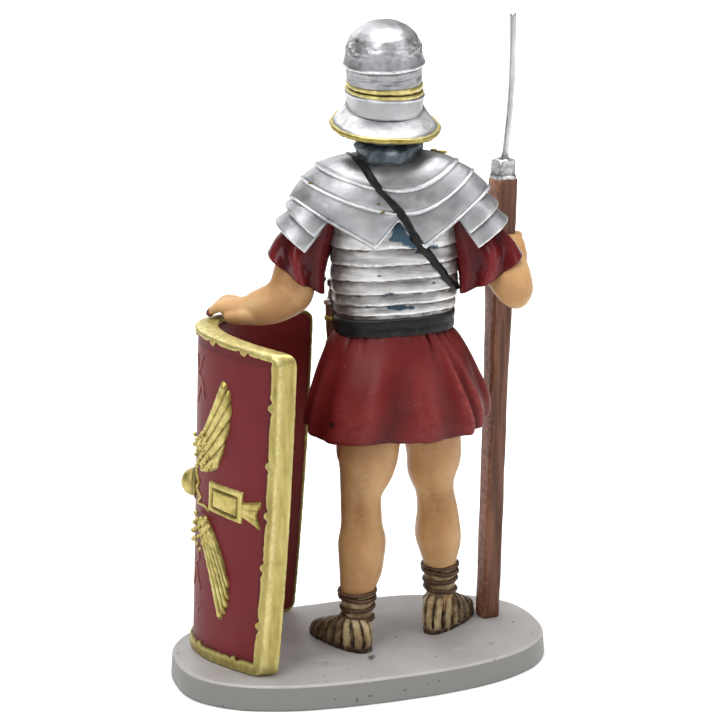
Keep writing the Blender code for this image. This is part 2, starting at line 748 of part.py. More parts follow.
def face_radius(degrees, height):
    """Distance of the face's skin from the head's axis. -90 degrees looks ahead."""
    side = abs(degrees + 90.0)
    up = height - HEAD.z
    brow = 0.5 * bump(up, 1.6, 0.9) * bump(side, 0.0, 42.0)
    eyes = -0.75 * bump(up, 0.5, 0.8) * bump(side, 24.0, 13.0)
    lids = 0.35 * bump(up, 0.3, 0.45) * bump(side, 25.0, 8.0)
    nose = 1.9 * bump(side, 0.0, 9.5) * between(up, -3.3, -2.2) * (1.0 - between(up, -1.8, 1.6))
    bridge = 0.7 * bump(side, 0.0, 9.0) * bump(up, 0.4, 1.5)
    lips = 0.45 * bump(up, -3.9, 0.5) * bump(side, 0.0, 17.0) + 0.4 * bump(up, -4.8, 0.45) * bump(side, 0.0, 15.0)
    chin = 0.65 * bump(up, -6.4, 0.9) * bump(side, 0.0, 20.0)
    return brow + eyes + lids + nose + bridge + lips + chin


FACE_LEVELS = [  # height over the eyes, half width, half depth, centre y
    (-12.0, 4.2, 4.4, 1.0),
    (-7.6, 3.7, 4.6, 0.5),
    (-7.0, 3.9, 6.0, -0.2),
    (-6.2, 4.3, 6.5, -0.3),
    (-5.3, 4.8, 6.6, -0.2),
    (-4.5, 5.0, 6.7, -0.1),
    (-3.8, 5.2, 6.8, 0.0),
    (-2.6, 5.4, 6.9, 0.0),
    (-1.2, 5.6, 7.0, 0.0),
    (0.4, 5.7, 7.0, 0.0),
    (1.6, 5.8, 7.2, 0.0),
    (4.0, 5.6, 6.8, 0.0),
]


def face():
    rings = []
    for up, half_width, half_depth, cy in FACE_LEVELS:
        ring = []
        turns = [-90.0 + 12.0 * k for k in range(-5, 6)] + [5.0, 60.0, 120.0, 175.0]
        for degrees in turns:
            way = unit_turn(degrees)
            out = face_radius(degrees, HEAD.z + up)
            x = HEAD.x + way.x * (half_width + out)
            y = HEAD.y + cy + way.y * (half_depth + out)
            ring.append(share(x, y, HEAD.z + up))
        rings.append(ring)
    return loft("face", rings)


SCARF = [  # height, half width, half depth
    (94.0, 5.6, 5.6), (96.4, 6.7, 6.5), (97.8, 6.1, 6.0), (98.3, 5.4, 5.4),
    (99.3, 5.6, 5.5), (100.6, 4.4, 4.5),
]


def scarf():
    """Neck cloth: two soft rolls, one over the other."""
    rings = []
    for height, half_width, half_depth in SCARF:
        ring = []
        for i in range(14):
            angle = 2.0 * math.pi * i / 14
            out = 0.22 * math.sin(4.0 * angle + 0.4 * height)
            x = NECK.x + (half_width + out) * math.cos(angle)
            y = NECK.y + 0.2 + (half_depth + out) * math.sin(angle)
            ring.append(share(x, y, height - 0.1 * (y - NECK.y)))
        rings.append(ring)
    return loft("scarf", rings)


# Straps and weapons at the hips

BALDRIC_BACK = [(2.8, 96.6), (-0.4, 94.3), (-3.7, 89.8), (-7.3, 86.0), (-10.1, 81.4), (-14.8, 74.8), (-17.6, 70.4)]
BALDRIC_FRONT = [(-18.6, 68.6), (-15.5, 71.8), (-10.0, 77.6), (-4.5, 83.4), (0.5, 89.6), (3.4, 95.6)]
BALDRIC_WIDTH = 2.0
BALDRIC_RISE = 0.55


def smooth_path(points, steps):
    """Evenly stepped curve through a closed list of points."""
    curve = []
    count = len(points)
    for k in range(count):
        before, a, b, after = (points[(k + j) % count] for j in (-1, 0, 1, 2))
        for i in range(steps):
            t = i / steps
            place = 2.0 * a + (b - before) * t
            place += (2.0 * before - 5.0 * a + 4.0 * b - after) * t * t
            place += (3.0 * a - before - 3.0 * b + after) * t * t * t
            curve.append(0.5 * place)
    return curve


def surface_tree(forms):
    verts = []
    faces = []
    for form in forms:
        start = len(verts)
        verts.extend(vert.co.copy() for vert in form.data.vertices)
        for face_ in form.data.polygons:
            faces.append([start + index for index in face_.vertices])
    return BVHTree.FromPolygons(verts, faces)


def baldric(body_forms):
    """Strap from the left shoulder to the right hip, laid on the armour."""
    tree = surface_tree(body_forms)
    middle_y = TORSO_CENTRE[1]
    anchors = []
    for row, way in ((BALDRIC_BACK, 1.0), (BALDRIC_FRONT, -1.0)):
        for x, z in row:
            start = share(x, middle_y + 40.0 * way, z)
            hit = tree.ray_cast(start, Vector((0.0, -way, 0.0)))[0]
            anchors.append(hit if hit else share(x, middle_y, z))
    path = smooth_path(anchors, 2)
    sections = []
    for k, place in enumerate(path):
        near, normal, _, _ = tree.find_nearest(place)
        ahead = (path[(k + 1) % len(path)] - path[k - 1]).normalized()
        normal = (place - share(*TORSO_CENTRE, place.z / UNIT)).normalized() * 0.5 + normal
        normal = (normal - ahead * normal.dot(ahead)).normalized()
        side = ahead.cross(normal)
        out = max((near - place).dot(normal), 0.0)
        top = place + normal * (out + BALDRIC_RISE * UNIT)
        low = place - normal * 1.2 * UNIT
        half = side * 0.5 * BALDRIC_WIDTH * UNIT
        sections.append([low - half, low + half, top + half * 0.8, top - half * 0.8])
    return closed_band("baldric", sections)


def block(name, stations, sides=8, across=Vector((1, 0, 0)), exponent=3.0):
    """Upright flat form through stations of (centre, half width, half depth)."""
    rings = []
    for centre, half_width, half_depth in stations:
        along = Vector((0, 0, 1)).cross(across)
        ring = oval(share(*centre), across, along, half_width * UNIT, half_depth * UNIT, sides, exponent, 0.39)
        rings.append(ring)
    return loft(name, rings)


def dagger():
    hip = Vector((5.3, -5.0, 0.0))
    shape = [
        (71.2, 0.9, 0.9), (70.7, 1.7, 1.1), (69.8, 1.6, 1.0), (69.4, 0.9, 0.8), (67.4, 1.1, 0.9),
        (67.0, 2.1, 1.2), (66.3, 2.1, 1.2), (66.0, 1.6, 1.0), (60.3, 1.7, 1.0), (56.3, 1.1, 0.9),
        (54.8, 0.5, 0.5),
    ]
    stations = []
    for height, half_width, half_depth in shape:
        down = 66.0 - height
        x = hip.x - 0.04 * abs(down) - 0.06 * max(-down, 0.0)
        stations.append(((x, hip.y - 0.04 * down, height), half_width, half_depth))
    return block("dagger", stations, 6, unit_turn(60.0))


def sword():
    hip = Vector((-14.7, -10.2, 0.0))
    shape = [
        (77.0, 0.7, 0.7), (76.4, 1.5, 1.4), (75.2, 1.5, 1.4), (74.6, 0.8, 0.8), (71.4, 0.9, 0.9),
        (71.0, 2.1, 1.5), (69.8, 2.1, 1.5), (69.4, 1.6, 1.0), (48.6, 1.5, 1.0), (46.2, 0.9, 0.8),
        (45.4, 0.7, 0.7), (44.8, 0.8, 0.8), (44.2, 0.4, 0.4),
    ]
    stations = []
    for height, half_width, half_depth in shape:
        down = max(66.0 - height, 0.0)
        stations.append(((hip.x - 0.04 * down, hip.y - 0.2 * down, height), half_width, half_depth))
    return block("sword", stations, 6, unit_turn(-20.0))


def soldier():
    armour = [girth(), yoke()]
    strap = baldric(armour)
    forms = armour + [strap, skirt(), scarf(), face(), helmet_bowl(), neck_guard(), brow_guard()]
    forms += [cheek_plate("left_cheek", 1.0), cheek_plate("right_cheek", -1.0)]
    for values in ARM_PLATES:
        forms.append(arm_plate(values))
    for side in SLEEVES:
        forms.append(sleeve(side))
    for name, values in (("left", LEFT_LEG), ("right", RIGHT_LEG)):
        forms.append(leg(name + "_leg", values))
        forms.append(sandal(name + "_sandal", values))
    forms.append(limb("left_arm", LEFT_ARM, 9))
    forms.append(limb("right_arm", RIGHT_ARM, 10))
    forms.append(limb("right_forearm", RIGHT_FOREARM, 9))
    forms += fist()
    forms += resting_hand()
    forms += [dagger(), sword()]
    body = fuse("soldier", forms)
    cut(body, grip_hole())
    tidy(body)
    return body


# Shield. Its face is described by the arc from the middle line, the height and the rise.

ARC_STEPS = 240


def shield_curve(across):
    """Point of the plan curve, across from -1 to 1, and the way out from the face."""
    size = abs(across)
    point = Vector((SHIELD_DEPTH * (1.0 - size ** SHIELD_CURVE), 0.5 * SHIELD_CHORD * across, 0.0))
    slope = SHIELD_DEPTH * SHIELD_CURVE * power(across, SHIELD_CURVE - 1.0)
    return point, Vector((0.5 * SHIELD_CHORD, slope, 0.0)).normalized()


def arc_table():
    shares = [k / ARC_STEPS for k in range(ARC_STEPS + 1)]
    arcs = [0.0]
    for a, b in zip(shares, shares[1:]):
        arcs.append(arcs[-1] + (shield_curve(b)[0] - shield_curve(a)[0]).length)
    return shares, arcs


SHARES, ARCS = arc_table()
HALF_ARC = ARCS[-1]


def across_at(arc):
    reach = min(abs(arc), HALF_ARC)
    for k in range(ARC_STEPS):
        if ARCS[k + 1] >= reach:
            t = (reach - ARCS[k]) / (ARCS[k + 1] - ARCS[k])
            return math.copysign(SHARES[k] + t * (SHARES[k + 1] - SHARES[k]), arc)
    return math.copysign(1.0, arc)


def leaned(point, height):
    lean = SHIELD_LEAN * (height / SHIELD_HEIGHT)
    lean.rotate(Matrix.Rotation(-SHIELD_TURN, 3, "Z"))
    return point + Vector((0.0, 0.0, height)) + lean


def shield_point(arc, height, rise=0.0):
    point, out = shield_curve(across_at(arc))
    return leaned(point + out * rise, height)


def inside_point(arc, height, depth):
    """Point on the hollow side, depth behind the face along the way the boss points."""
    across = across_at(arc)
    back = Vector((-depth, -across * SHIELD_TAPER * depth / SHIELD_WALL, 0.0))
    return leaned(shield_curve(across)[0] + back, height)


def shield_matrix():
    return Matrix.Translation(SHIELD_PLACE) @ Matrix.Rotation(SHIELD_TURN, 4, "Z")


def corner_height(arc):
    """How much the rounded corner takes off the wall's height at this arc."""
    radius = SHIELD_CORNER
    into = abs(arc) - (HALF_ARC - SHIELD_CORNER)
    if into <= 0.0:
        return 0.0
    return radius - math.sqrt(max(radius ** 2 - min(into, radius) ** 2, 0.0))


def shield_wall():
    """Curved wall with the raised edging all round its face."""
    columns = 24
    inner = HALF_ARC - SHIELD_BORDER
    arcs = [(HALF_ARC * side, True) for side in (-1.0, -0.985)]
    arcs += [(-HALF_ARC + 0.5 * SHIELD_CORNER, True), (-inner, True)]
    for k in range(columns + 1):
        arcs.append(((inner - 0.05 * MM) * (2.0 * k / columns - 1.0), False))
    arcs += [(inner, True), (HALF_ARC - 0.5 * SHIELD_CORNER, True)]
    arcs += [(HALF_ARC * side, True) for side in (0.985, 1.0)]
    rings = []
    for arc, on_border in arcs:
        off = corner_height(arc) * 0.92
        low, high = off, SHIELD_HEIGHT - off
        bottom, top = SHIELD_BORDER, SHIELD_HEIGHT - SHIELD_BORDER
        up = SHIELD_BORDER_RISE
        middle = up if on_border else 0.0
        section = [(low, up), (bottom, up), (bottom + 0.05 * MM, middle)]
        bevel = max(high - SHIELD_BEVEL, 0.5 * (top + high))
        section += [(top - 0.05 * MM, middle), (top, up), (bevel, up)]
        ring = [shield_point(arc, z, rise) for z, rise in section]
        ring.append(inside_point(arc, high, 0.3 * SHIELD_WALL))
        ring += [inside_point(arc, z, SHIELD_WALL) for z in (high, low)]
        rings.append(ring)
    return loft("shield_wall", rings)


def strip(name, lows, highs, rise, foot, ridge=0.0):
    """Raised strip on the face between two lists of (arc, height), rooted a foot deep in the wall."""
    rings = []
    for low, high in zip(lows, highs):
        middle = (0.5 * (low[0] + high[0]), 0.5 * (low[1] + high[1]))
        ring = [shield_point(*low, -foot), shield_point(*low, rise)]
        if ridge:
            ring.append(shield_point(*middle, rise + ridge))
        ring += [shield_point(*high, rise), shield_point(*high, -foot)]
        rings.append(ring)
    return loft(name, rings)


def plate(name, start, end, rise, foot):
    """Raised plate from (arc, low, high) to (arc, low, high), bent to the face."""
    lows = []
    highs = []
    columns = 3
    for k in range(columns + 1):
        arc, low, high = (a + (b - a) * k / columns for a, b in zip(start, end))
        lows.append((arc, BOSS_HEIGHT + low))
        highs.append((arc, BOSS_HEIGHT + high))
    return strip(name, lows, highs, rise, foot)


# Arc and height from the boss's middle: where the first and the last feather start and end
WING_ROOTS = ((5.2 * MM, 8.2 * MM), (9.0 * MM, 5.6 * MM))
WING_TIPS = ((15.0 * MM, 22.6 * MM), (16.0 * MM, 11.2 * MM))
WING_FEATHERS = 4
BOSS_HEIGHT = 32.4 * MM


def feather(name, start, end, half, bend, rise, foot):
    """Long raised form from start to end, bowed sideways."""
    shape_left = []
    shape_right = []
    steps = 3
    ahead = Vector((end[0] - start[0], end[1] - start[1]))
    aside = Vector((-ahead.y, ahead.x)).normalized()
    for k in range(steps + 1):
        t = k / steps
        middle = Vector(start) + ahead * t + aside * bend * math.sin(math.pi * t)
        wide = half * (0.55 + 0.6 * math.sin(math.pi * min(t * 1.1, 1.0)) * (1.0 - 0.3 * t))
        wide *= 1.0 - 0.55 * between(t, 0.75, 1.0)
        shape_left.append(tuple(middle + aside * wide))
        shape_right.append(tuple(middle - aside * wide))
    return strip(name, shape_left, shape_right, 0.4 * rise, foot, 0.6 * rise)


def wing(side, way):
    """Spread wing: feathers fan from the boss to the upper or lower corner."""
    forms = []
    for k in range(WING_FEATHERS):
        t = k / (WING_FEATHERS - 1)
        root = [a + (b - a) * t for a, b in zip(*WING_ROOTS)]
        tip = [a + (b - a) * t for a, b in zip(*WING_TIPS)]
        start = (side * root[0], BOSS_HEIGHT + way * root[1])
        end = (side * tip[0], BOSS_HEIGHT + way * tip[1])
        name = "feather_%d_%d_%d" % (int(side), int(way), k)
        rise = SHIELD_RELIEF * (1.15 - 0.4 * t)
        foot = (0.5 + 0.13 * k) * MM
        forms.append(feather(name, start, end, 1.75 * MM, side * way * 1.1 * MM, rise, foot))
    return forms


BOLT_PLATES = [  # name, share of the relief, root, then arc, low and high side at each end
    ("frame", 1.0, 0.55, (10.2, -2.9, 2.9), (19.7, -3.0, 3.5)),
    ("flare", 0.9, 0.7, (19.2, -1.4, 1.0), (23.6, -3.0, 1.7)),
    ("panel", 1.6, 0.85, (11.5, -2.1, 1.7), (18.5, -1.9, 2.2)),
]


def bolt(side):
    """Framed plate with a flared end beside the boss."""
    forms = []
    for name, rise, foot, start, end in BOLT_PLATES:
        near, far = ((side * values[0] * MM, values[1] * MM, values[2] * MM) for values in (start, end))
        forms.append(plate(name, near, far, rise * SHIELD_RELIEF, foot * MM))
    return forms


def boss():
    """Round boss: a low collar and a dome."""
    out = shield_curve(0.0)[1]
    middle = shield_point(0.0, BOSS_HEIGHT)
    aside = Vector((0.0, 1.0, 0.0))
    up = Vector((0.0, 0.0, 1.0))
    radius = 0.5 * SHIELD_BOSS
    rings = []
    for reach, size in ((-1.0, 1.25), (0.15, 1.25), (0.3, 1.0)):
        rings.append(oval(middle + out * reach * MM, aside, up, radius * size, radius * size, 12))
    for k in range(1, 4):
        angle = 0.5 * math.pi * k / 4.0
        rise = 0.3 * MM + radius * 0.85 * math.sin(angle)
        rings.append(oval(middle + out * rise, aside, up, radius * math.cos(angle), radius * math.cos(angle), 12))
    return loft("boss", rings)


def shield():
    forms = [shield_wall(), boss()]
    for side in (-1.0, 1.0):
        forms += bolt(side)
        for way in (-1.0, 1.0):
            forms += wing(side, way)
    wall = fuse("shield", forms)
    tidy(wall)
    return wall


# Spear

def pilum_shaft():
    heights = [0.0, 0.5, 0.69, 0.88, 1.0]
    rings = [squared_ring(shaft_axis(0.0), SHAFT_FOOT_SIDE * 0.92)]
    rings.append(squared_ring(shaft_axis(0.4 * MM), SHAFT_FOOT_SIDE))
    for t in heights[1:]:
        height = t * SHAFT_LENGTH
        rings.append(squared_ring(shaft_axis(height), shaft_side(height)))
    top = SHAFT_LENGTH
    rings.append(squared_ring(shaft_axis(top + 0.15 * MM), CAP_SIDE))
    rings.append(squared_ring(shaft_axis(top + 0.86 * CAP_HEIGHT), CAP_SIDE * 0.97))
    rings.append(squared_ring(shaft_axis(top + CAP_HEIGHT), CAP_SIDE * 0.8))
    shaft = loft("pilum_shaft", rings)
    cut(shaft, seat_hole())
    return shaft


def shank_axis(height):
    """Middle line of the wire, bowed a little, height counted from the top of the cap."""
    top = SHAFT_LENGTH + CAP_HEIGHT
    t = max(height, 0.0) / SHANK_LENGTH
    sideways = SHANK_OFFSET + SHANK_LEAN * t + SHANK_BOW * math.sin(math.pi * t)
    way = shaft_axis(1.0) - shaft_axis(0.0)
    return shaft_axis(top) + way * height - Vector((sideways, 0.0, 0.0))


def round_rings(radius, heights, axis, sides):
    right = Vector((1.0, 0.0, 0.0))
    back = Vector((0.0, 1.0, 0.0))
    return [oval(axis(height), right, back, radius, radius, sides) for height in heights]


def seat_hole():
    radius = 0.5 * SHANK_DIAMETER + PIECE_GAP
    heights = [-SHANK_SEAT - PIECE_GAP, 1.0 * MM]
    return loft("seat_hole", round_rings(radius, heights, shank_axis, 8))


def pilum_shank():
    heights = [-SHANK_SEAT] + [SHANK_LENGTH * k / 6 for k in range(7)]
    return loft("pilum_shank", round_rings(0.5 * SHANK_DIAMETER, heights, shank_axis, 8))


def grip_hole():
    """The shaft's own section, larger by the clearance, through the fist."""
    reach = 7.5 * UNIT
    rings = []
    for height in (FIST.z - reach, FIST.z, FIST.z + reach):
        side = shaft_side(height) + 2.0 * GRIP_CLEARANCE
        rings.append(squared_ring(shaft_axis(height), side))
    return loft("grip_hole", rings)


def main():
    for thing in list(bpy.data.objects):
        bpy.data.objects.remove(thing)
    standing = bpy.data.objects.new("standing_place", None)
    bpy.context.scene.collection.objects.link(standing)
    standing.location = (0.0, 0.0, STANDING_HEIGHT)
    standing.rotation_euler = (0.0, 0.0, FIGURE_TURN)

    plinth = base()
    paint(plinth, "grey_paint", (0.30, 0.28, 0.28), 0.55, 0.0)

    man = soldier()
    man.parent = standing
    paint(man, "silver_paint", (0.66, 0.67, 0.69), 0.32, 0.85)

    scutum = shield()
    scutum.parent = standing
    scutum.location = SHIELD_PLACE
    scutum.rotation_euler = (0.0, 0.0, SHIELD_TURN)
    paint(scutum, "red_paint", (0.22, 0.03, 0.04), 0.42, 0.0)

    shaft = pilum_shaft()
    shaft.parent = standing
    paint(shaft, "brown_paint", (0.20, 0.08, 0.045), 0.5, 0.0)

    shank = pilum_shank()
    shank.parent = standing
    paint(shank, "bare_wire", (0.45, 0.45, 0.46), 0.3, 1.0)
    bpy.context.view_layer.update()
    for thing in (plinth, man, scutum, shaft, shank):
        print(thing.name, len(thing.data.loop_triangles), "triangles")


main()
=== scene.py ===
# Painted figurine of a Roman soldier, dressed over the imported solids.
# The figure is built in millimetres from its own soles and then set on the base.

import math

import bmesh
import bpy
from mathutils import Matrix, Vector, noise
from mathutils.bvhtree import BVHTree


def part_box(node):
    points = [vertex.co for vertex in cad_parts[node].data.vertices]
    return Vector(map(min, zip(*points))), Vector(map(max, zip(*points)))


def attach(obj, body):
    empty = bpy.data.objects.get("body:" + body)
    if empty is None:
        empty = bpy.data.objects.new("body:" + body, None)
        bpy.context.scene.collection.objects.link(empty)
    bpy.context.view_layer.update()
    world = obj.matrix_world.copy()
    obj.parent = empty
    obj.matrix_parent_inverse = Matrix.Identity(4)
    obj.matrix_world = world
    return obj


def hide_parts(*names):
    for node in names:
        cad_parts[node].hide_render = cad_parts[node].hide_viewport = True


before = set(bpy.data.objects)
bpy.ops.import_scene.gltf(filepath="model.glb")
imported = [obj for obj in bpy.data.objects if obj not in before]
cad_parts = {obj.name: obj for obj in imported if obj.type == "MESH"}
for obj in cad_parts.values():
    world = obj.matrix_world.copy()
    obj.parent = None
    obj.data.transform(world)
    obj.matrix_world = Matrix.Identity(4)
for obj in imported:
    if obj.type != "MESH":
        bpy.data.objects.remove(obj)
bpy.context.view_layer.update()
print("frame loaded:", ", ".join(sorted(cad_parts)))

baseLow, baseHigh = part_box("base")
pieceGap = 0.3  # mm, between the solids
figureTurn = math.radians(-18.4)
standingHeight = baseHigh.z + pieceGap * 0.001
figurePlace = (Matrix.Translation((0.0, 0.0, standingHeight)) @ Matrix.Rotation(figureTurn, 4, "Z")
               @ Matrix.Scale(0.001, 4))
basePlace = Matrix.Scale(0.001, 4)
alongX, alongY, alongZ = (Vector(axis) for axis in ((1.0, 0.0, 0.0), (0.0, 1.0, 0.0), (0.0, 0.0, 1.0)))


def power(value, exponent):
    return math.copysign(abs(value) ** exponent, value)


def bump(value, centre, width):
    return math.exp(-((value - centre) / width) ** 2)


def ease(value, low, high):
    t = min(max((value - low) / (high - low), 0.0), 1.0)
    return t * t * (3.0 - 2.0 * t)


def mixed(a, b, t):
    return a + (b - a) * t


def unitTurn(degrees):
    angle = math.radians(degrees)
    return Vector((math.cos(angle), math.sin(angle), 0.0))


def wobble(point, size, seed=0.0):
    return noise.noise(Vector(point) / size + Vector((seed, seed * 1.7, -seed)))


def smoothRows(rows, steps):
    # in-between rows on a smooth curve, ends kept
    out = []
    for k in range(len(rows) - 1):
        before, a, b, after = rows[max(k - 1, 0)], rows[k], rows[k + 1], rows[min(k + 2, len(rows) - 1)]
        for i in range(steps):
            t = i / steps
            row = []
            for p, q, r, s in zip(before, a, b, after):
                curve = 2 * q + (r - p) * t + (2 * p - 5 * q + 4 * r - s) * t * t
                row.append(0.5 * (curve + (3 * q - p - 3 * r + s) * t ** 3))
            out.append(row)
    out.append(list(rows[-1]))
    return out


# Materials. Every finish is hand-laid paint, so each has brush tones, a dark wash and its own gloss; the wash
# colour also paints shade, and the worn colour also paints highlights.

def addNode(tree, kind, **settings):
    node = tree.nodes.new(kind)
    for name, value in settings.items():
        if name in node.inputs:
            node.inputs[name].default_value = value
        else:
            setattr(node, name, value)
    return node


def noiseNode(tree, scale, detail=3.0, roughness=0.55, stretch=None):
    place = addNode(tree, "ShaderNodeTexCoord")
    source = place.outputs["Object"]
    if stretch:
        mapping = addNode(tree, "ShaderNodeMapping")
        mapping.inputs["Scale"].default_value = stretch
        tree.links.new(source, mapping.inputs["Vector"])
        source = mapping.outputs["Vector"]
    node = addNode(tree, "ShaderNodeTexNoise")
    node.inputs["Scale"].default_value = scale
    node.inputs["Detail"].default_value = detail
    node.inputs["Roughness"].default_value = roughness
    tree.links.new(source, node.inputs["Vector"])
    return node.outputs["Fac"]


def ramp(tree, source, stops):
    node = addNode(tree, "ShaderNodeValToRGB")
    elements = node.color_ramp.elements
    while len(elements) < len(stops):
        elements.new(0.5)
    for element, (place, colour) in zip(elements, stops):
        element.position = place
        element.color = (*colour, 1.0) if len(colour) == 3 else colour
    tree.links.new(source, node.inputs["Fac"])
    return node.outputs["Color"]


def mixColours(tree, factor, a, b):
    node = addNode(tree, "ShaderNodeMix", data_type="RGBA")
    for socket, value in ((node.inputs[0], factor), (node.inputs[6], a), (node.inputs[7], b)):
        if isinstance(value, bpy.types.NodeSocket):
            tree.links.new(value, socket)
        elif isinstance(value, (int, float)):
            socket.default_value = value
        else:
            socket.default_value = (*value, 1.0)
    return node.outputs[2]


def mathNode(tree, operation, a, b=0.5, clamp=False):
    node = addNode(tree, "ShaderNodeMath", operation=operation, use_clamp=clamp)
    for socket, value in zip(node.inputs, (a, b)):
        if isinstance(value, bpy.types.NodeSocket):
            tree.links.new(value, socket)
        else:
            socket.default_value = value
    return node.outputs[0]


def span(tree, source, low, high, toLow=0.0, toHigh=1.0):
    node = addNode(tree, "ShaderNodeMapRange")
    for name, value in (("From Min", low), ("From Max", high), ("To Min", toLow), ("To Max", toHigh)):
        node.inputs[name].default_value = value
    tree.links.new(source, node.inputs["Value"])
    return node.outputs["Result"]


# what a look has unless it says otherwise
usualLook = dict(toneScale=180.0, spread=0.16, stretch=None, patchScale=60.0, patchRange=(0.55, 0.7),
                 patchAmount=0.6, washAndShadeScale=900.0, washAndShadeAmount=0.9, washAndShadeRough=0.15, speckScale=1400.0,
                 speckFrom=0.72, glossScale=500.0, metal=0.0, shine=0.5, coat=0.0, coatRough=0.25,
                 skinDepth=0.0, bumpScale=700.0, bumpStrength=0.35, bumpDepth=0.00012)


# a look holds dark, base and light colours, the colour for the wash and painted shade, the colour for wear
# and painted highlights, gloss, metal, and brush and bump sizes
def paintFinish(name, ownLook):
    look = {**usualLook, **ownLook}
    material = bpy.data.materials.new(name)
    material.use_nodes = True
    tree = material.node_tree
    shader = tree.nodes["Principled BSDF"]
    stretch = look["stretch"]
    tones = noiseNode(tree, look["toneScale"], 4.0, 0.6, stretch)
    spread = look["spread"]
    stops = [(0.5 - spread, look["dark"]), (0.5, look["base"]), (0.5 + spread, look["light"])]
    colour = ramp(tree, tones, stops)
    if "patch" in look:  # broad patches of a second tone
        patches = noiseNode(tree, look["patchScale"], 2.0, 0.5)
        low, high = look["patchRange"]
        colour = mixColours(tree, span(tree, patches, low, high, 0.0, look["patchAmount"]),
                            colour, look["patch"])
    # positive values darken towards the wash colour, for the dark wash and for painted shade
    washAndShade = addNode(tree, "ShaderNodeAttribute", attribute_name="washAndShade").outputs["Fac"]
    fine = noiseNode(tree, look["washAndShadeScale"], 3.0, 0.6)
    loose = mathNode(tree, "MULTIPLY", washAndShade, span(tree, fine, 0.3, 0.6, 0.55, 1.15), clamp=True)
    colour = mixColours(tree, mathNode(tree, "MULTIPLY", loose, look["washAndShadeAmount"]),
                        colour, look["washAndShade"])
    # negative values lighten towards the worn colour, for wear and for painted highlights
    wornAndHighlight = mathNode(tree, "MULTIPLY", washAndShade, -1.0)
    wornAndHighlightSoft = mathNode(tree, "MULTIPLY", wornAndHighlight, span(tree, fine, 0.35, 0.65, 0.4, 1.2), clamp=True)
    colour = mixColours(tree, wornAndHighlightSoft, colour, look["wornAndHighlight"])
    # the second colour holds real smears and slate paint, and painted shade on the plinth's side and under
    # the plate notch
    if "stain" in look:  # a second paint, put where the piece's own stain values say
        stain = addNode(tree, "ShaderNodeAttribute", attribute_name="stain").outputs["Fac"]
        edge = mathNode(tree, "ADD", stain, span(tree, fine, 0.3, 0.7, -0.22, 0.22))
        colour = mixColours(tree, span(tree, edge, 0.42, 0.58), colour, look["stain"])
    if "specks" in look:
        dots = noiseNode(tree, look["speckScale"], 1.0, 0.4)
        low = look["speckFrom"]
        colour = mixColours(tree, span(tree, dots, low, low + 0.03, 0.0, 0.85), colour, look["specks"])
    tree.links.new(colour, shader.inputs["Base Color"])
    gloss = noiseNode(tree, look["glossScale"], 3.0)
    low, high = look["gloss"]
    rough = span(tree, gloss, 0.3, 0.7, low, high)
    rough = mathNode(tree, "ADD", rough, mathNode(tree, "MULTIPLY", loose, look["washAndShadeRough"]))
    tree.links.new(rough, shader.inputs["Roughness"])
    shader.inputs["Metallic"].default_value = look["metal"]
    shader.inputs["Specular IOR Level"].default_value = look["shine"]
    if look["coat"]:
        shader.inputs["Coat Weight"].default_value = look["coat"]
        shader.inputs["Coat Roughness"].default_value = look["coatRough"]
    if look["skinDepth"]:
        shader.inputs["Subsurface Weight"].default_value = look["skinDepth"]
        shader.inputs["Subsurface Radius"].default_value = (0.9, 0.4, 0.25)
        shader.inputs["Subsurface Scale"].default_value = 0.0006
    soft = noiseNode(tree, look["bumpScale"], 4.0, 0.6, stretch)
    hard = noiseNode(tree, look["bumpScale"] * 4.5, 2.0, 0.5, stretch)
    height = mathNode(tree, "ADD", soft, mathNode(tree, "MULTIPLY", hard, 0.3))
    relief = addNode(tree, "ShaderNodeBump")
    relief.inputs["Strength"].default_value = look["bumpStrength"]
    relief.inputs["Distance"].default_value = look["bumpDepth"]
    tree.links.new(height, relief.inputs["Height"])
    tree.links.new(relief.outputs["Normal"], shader.inputs["Normal"])
    return material


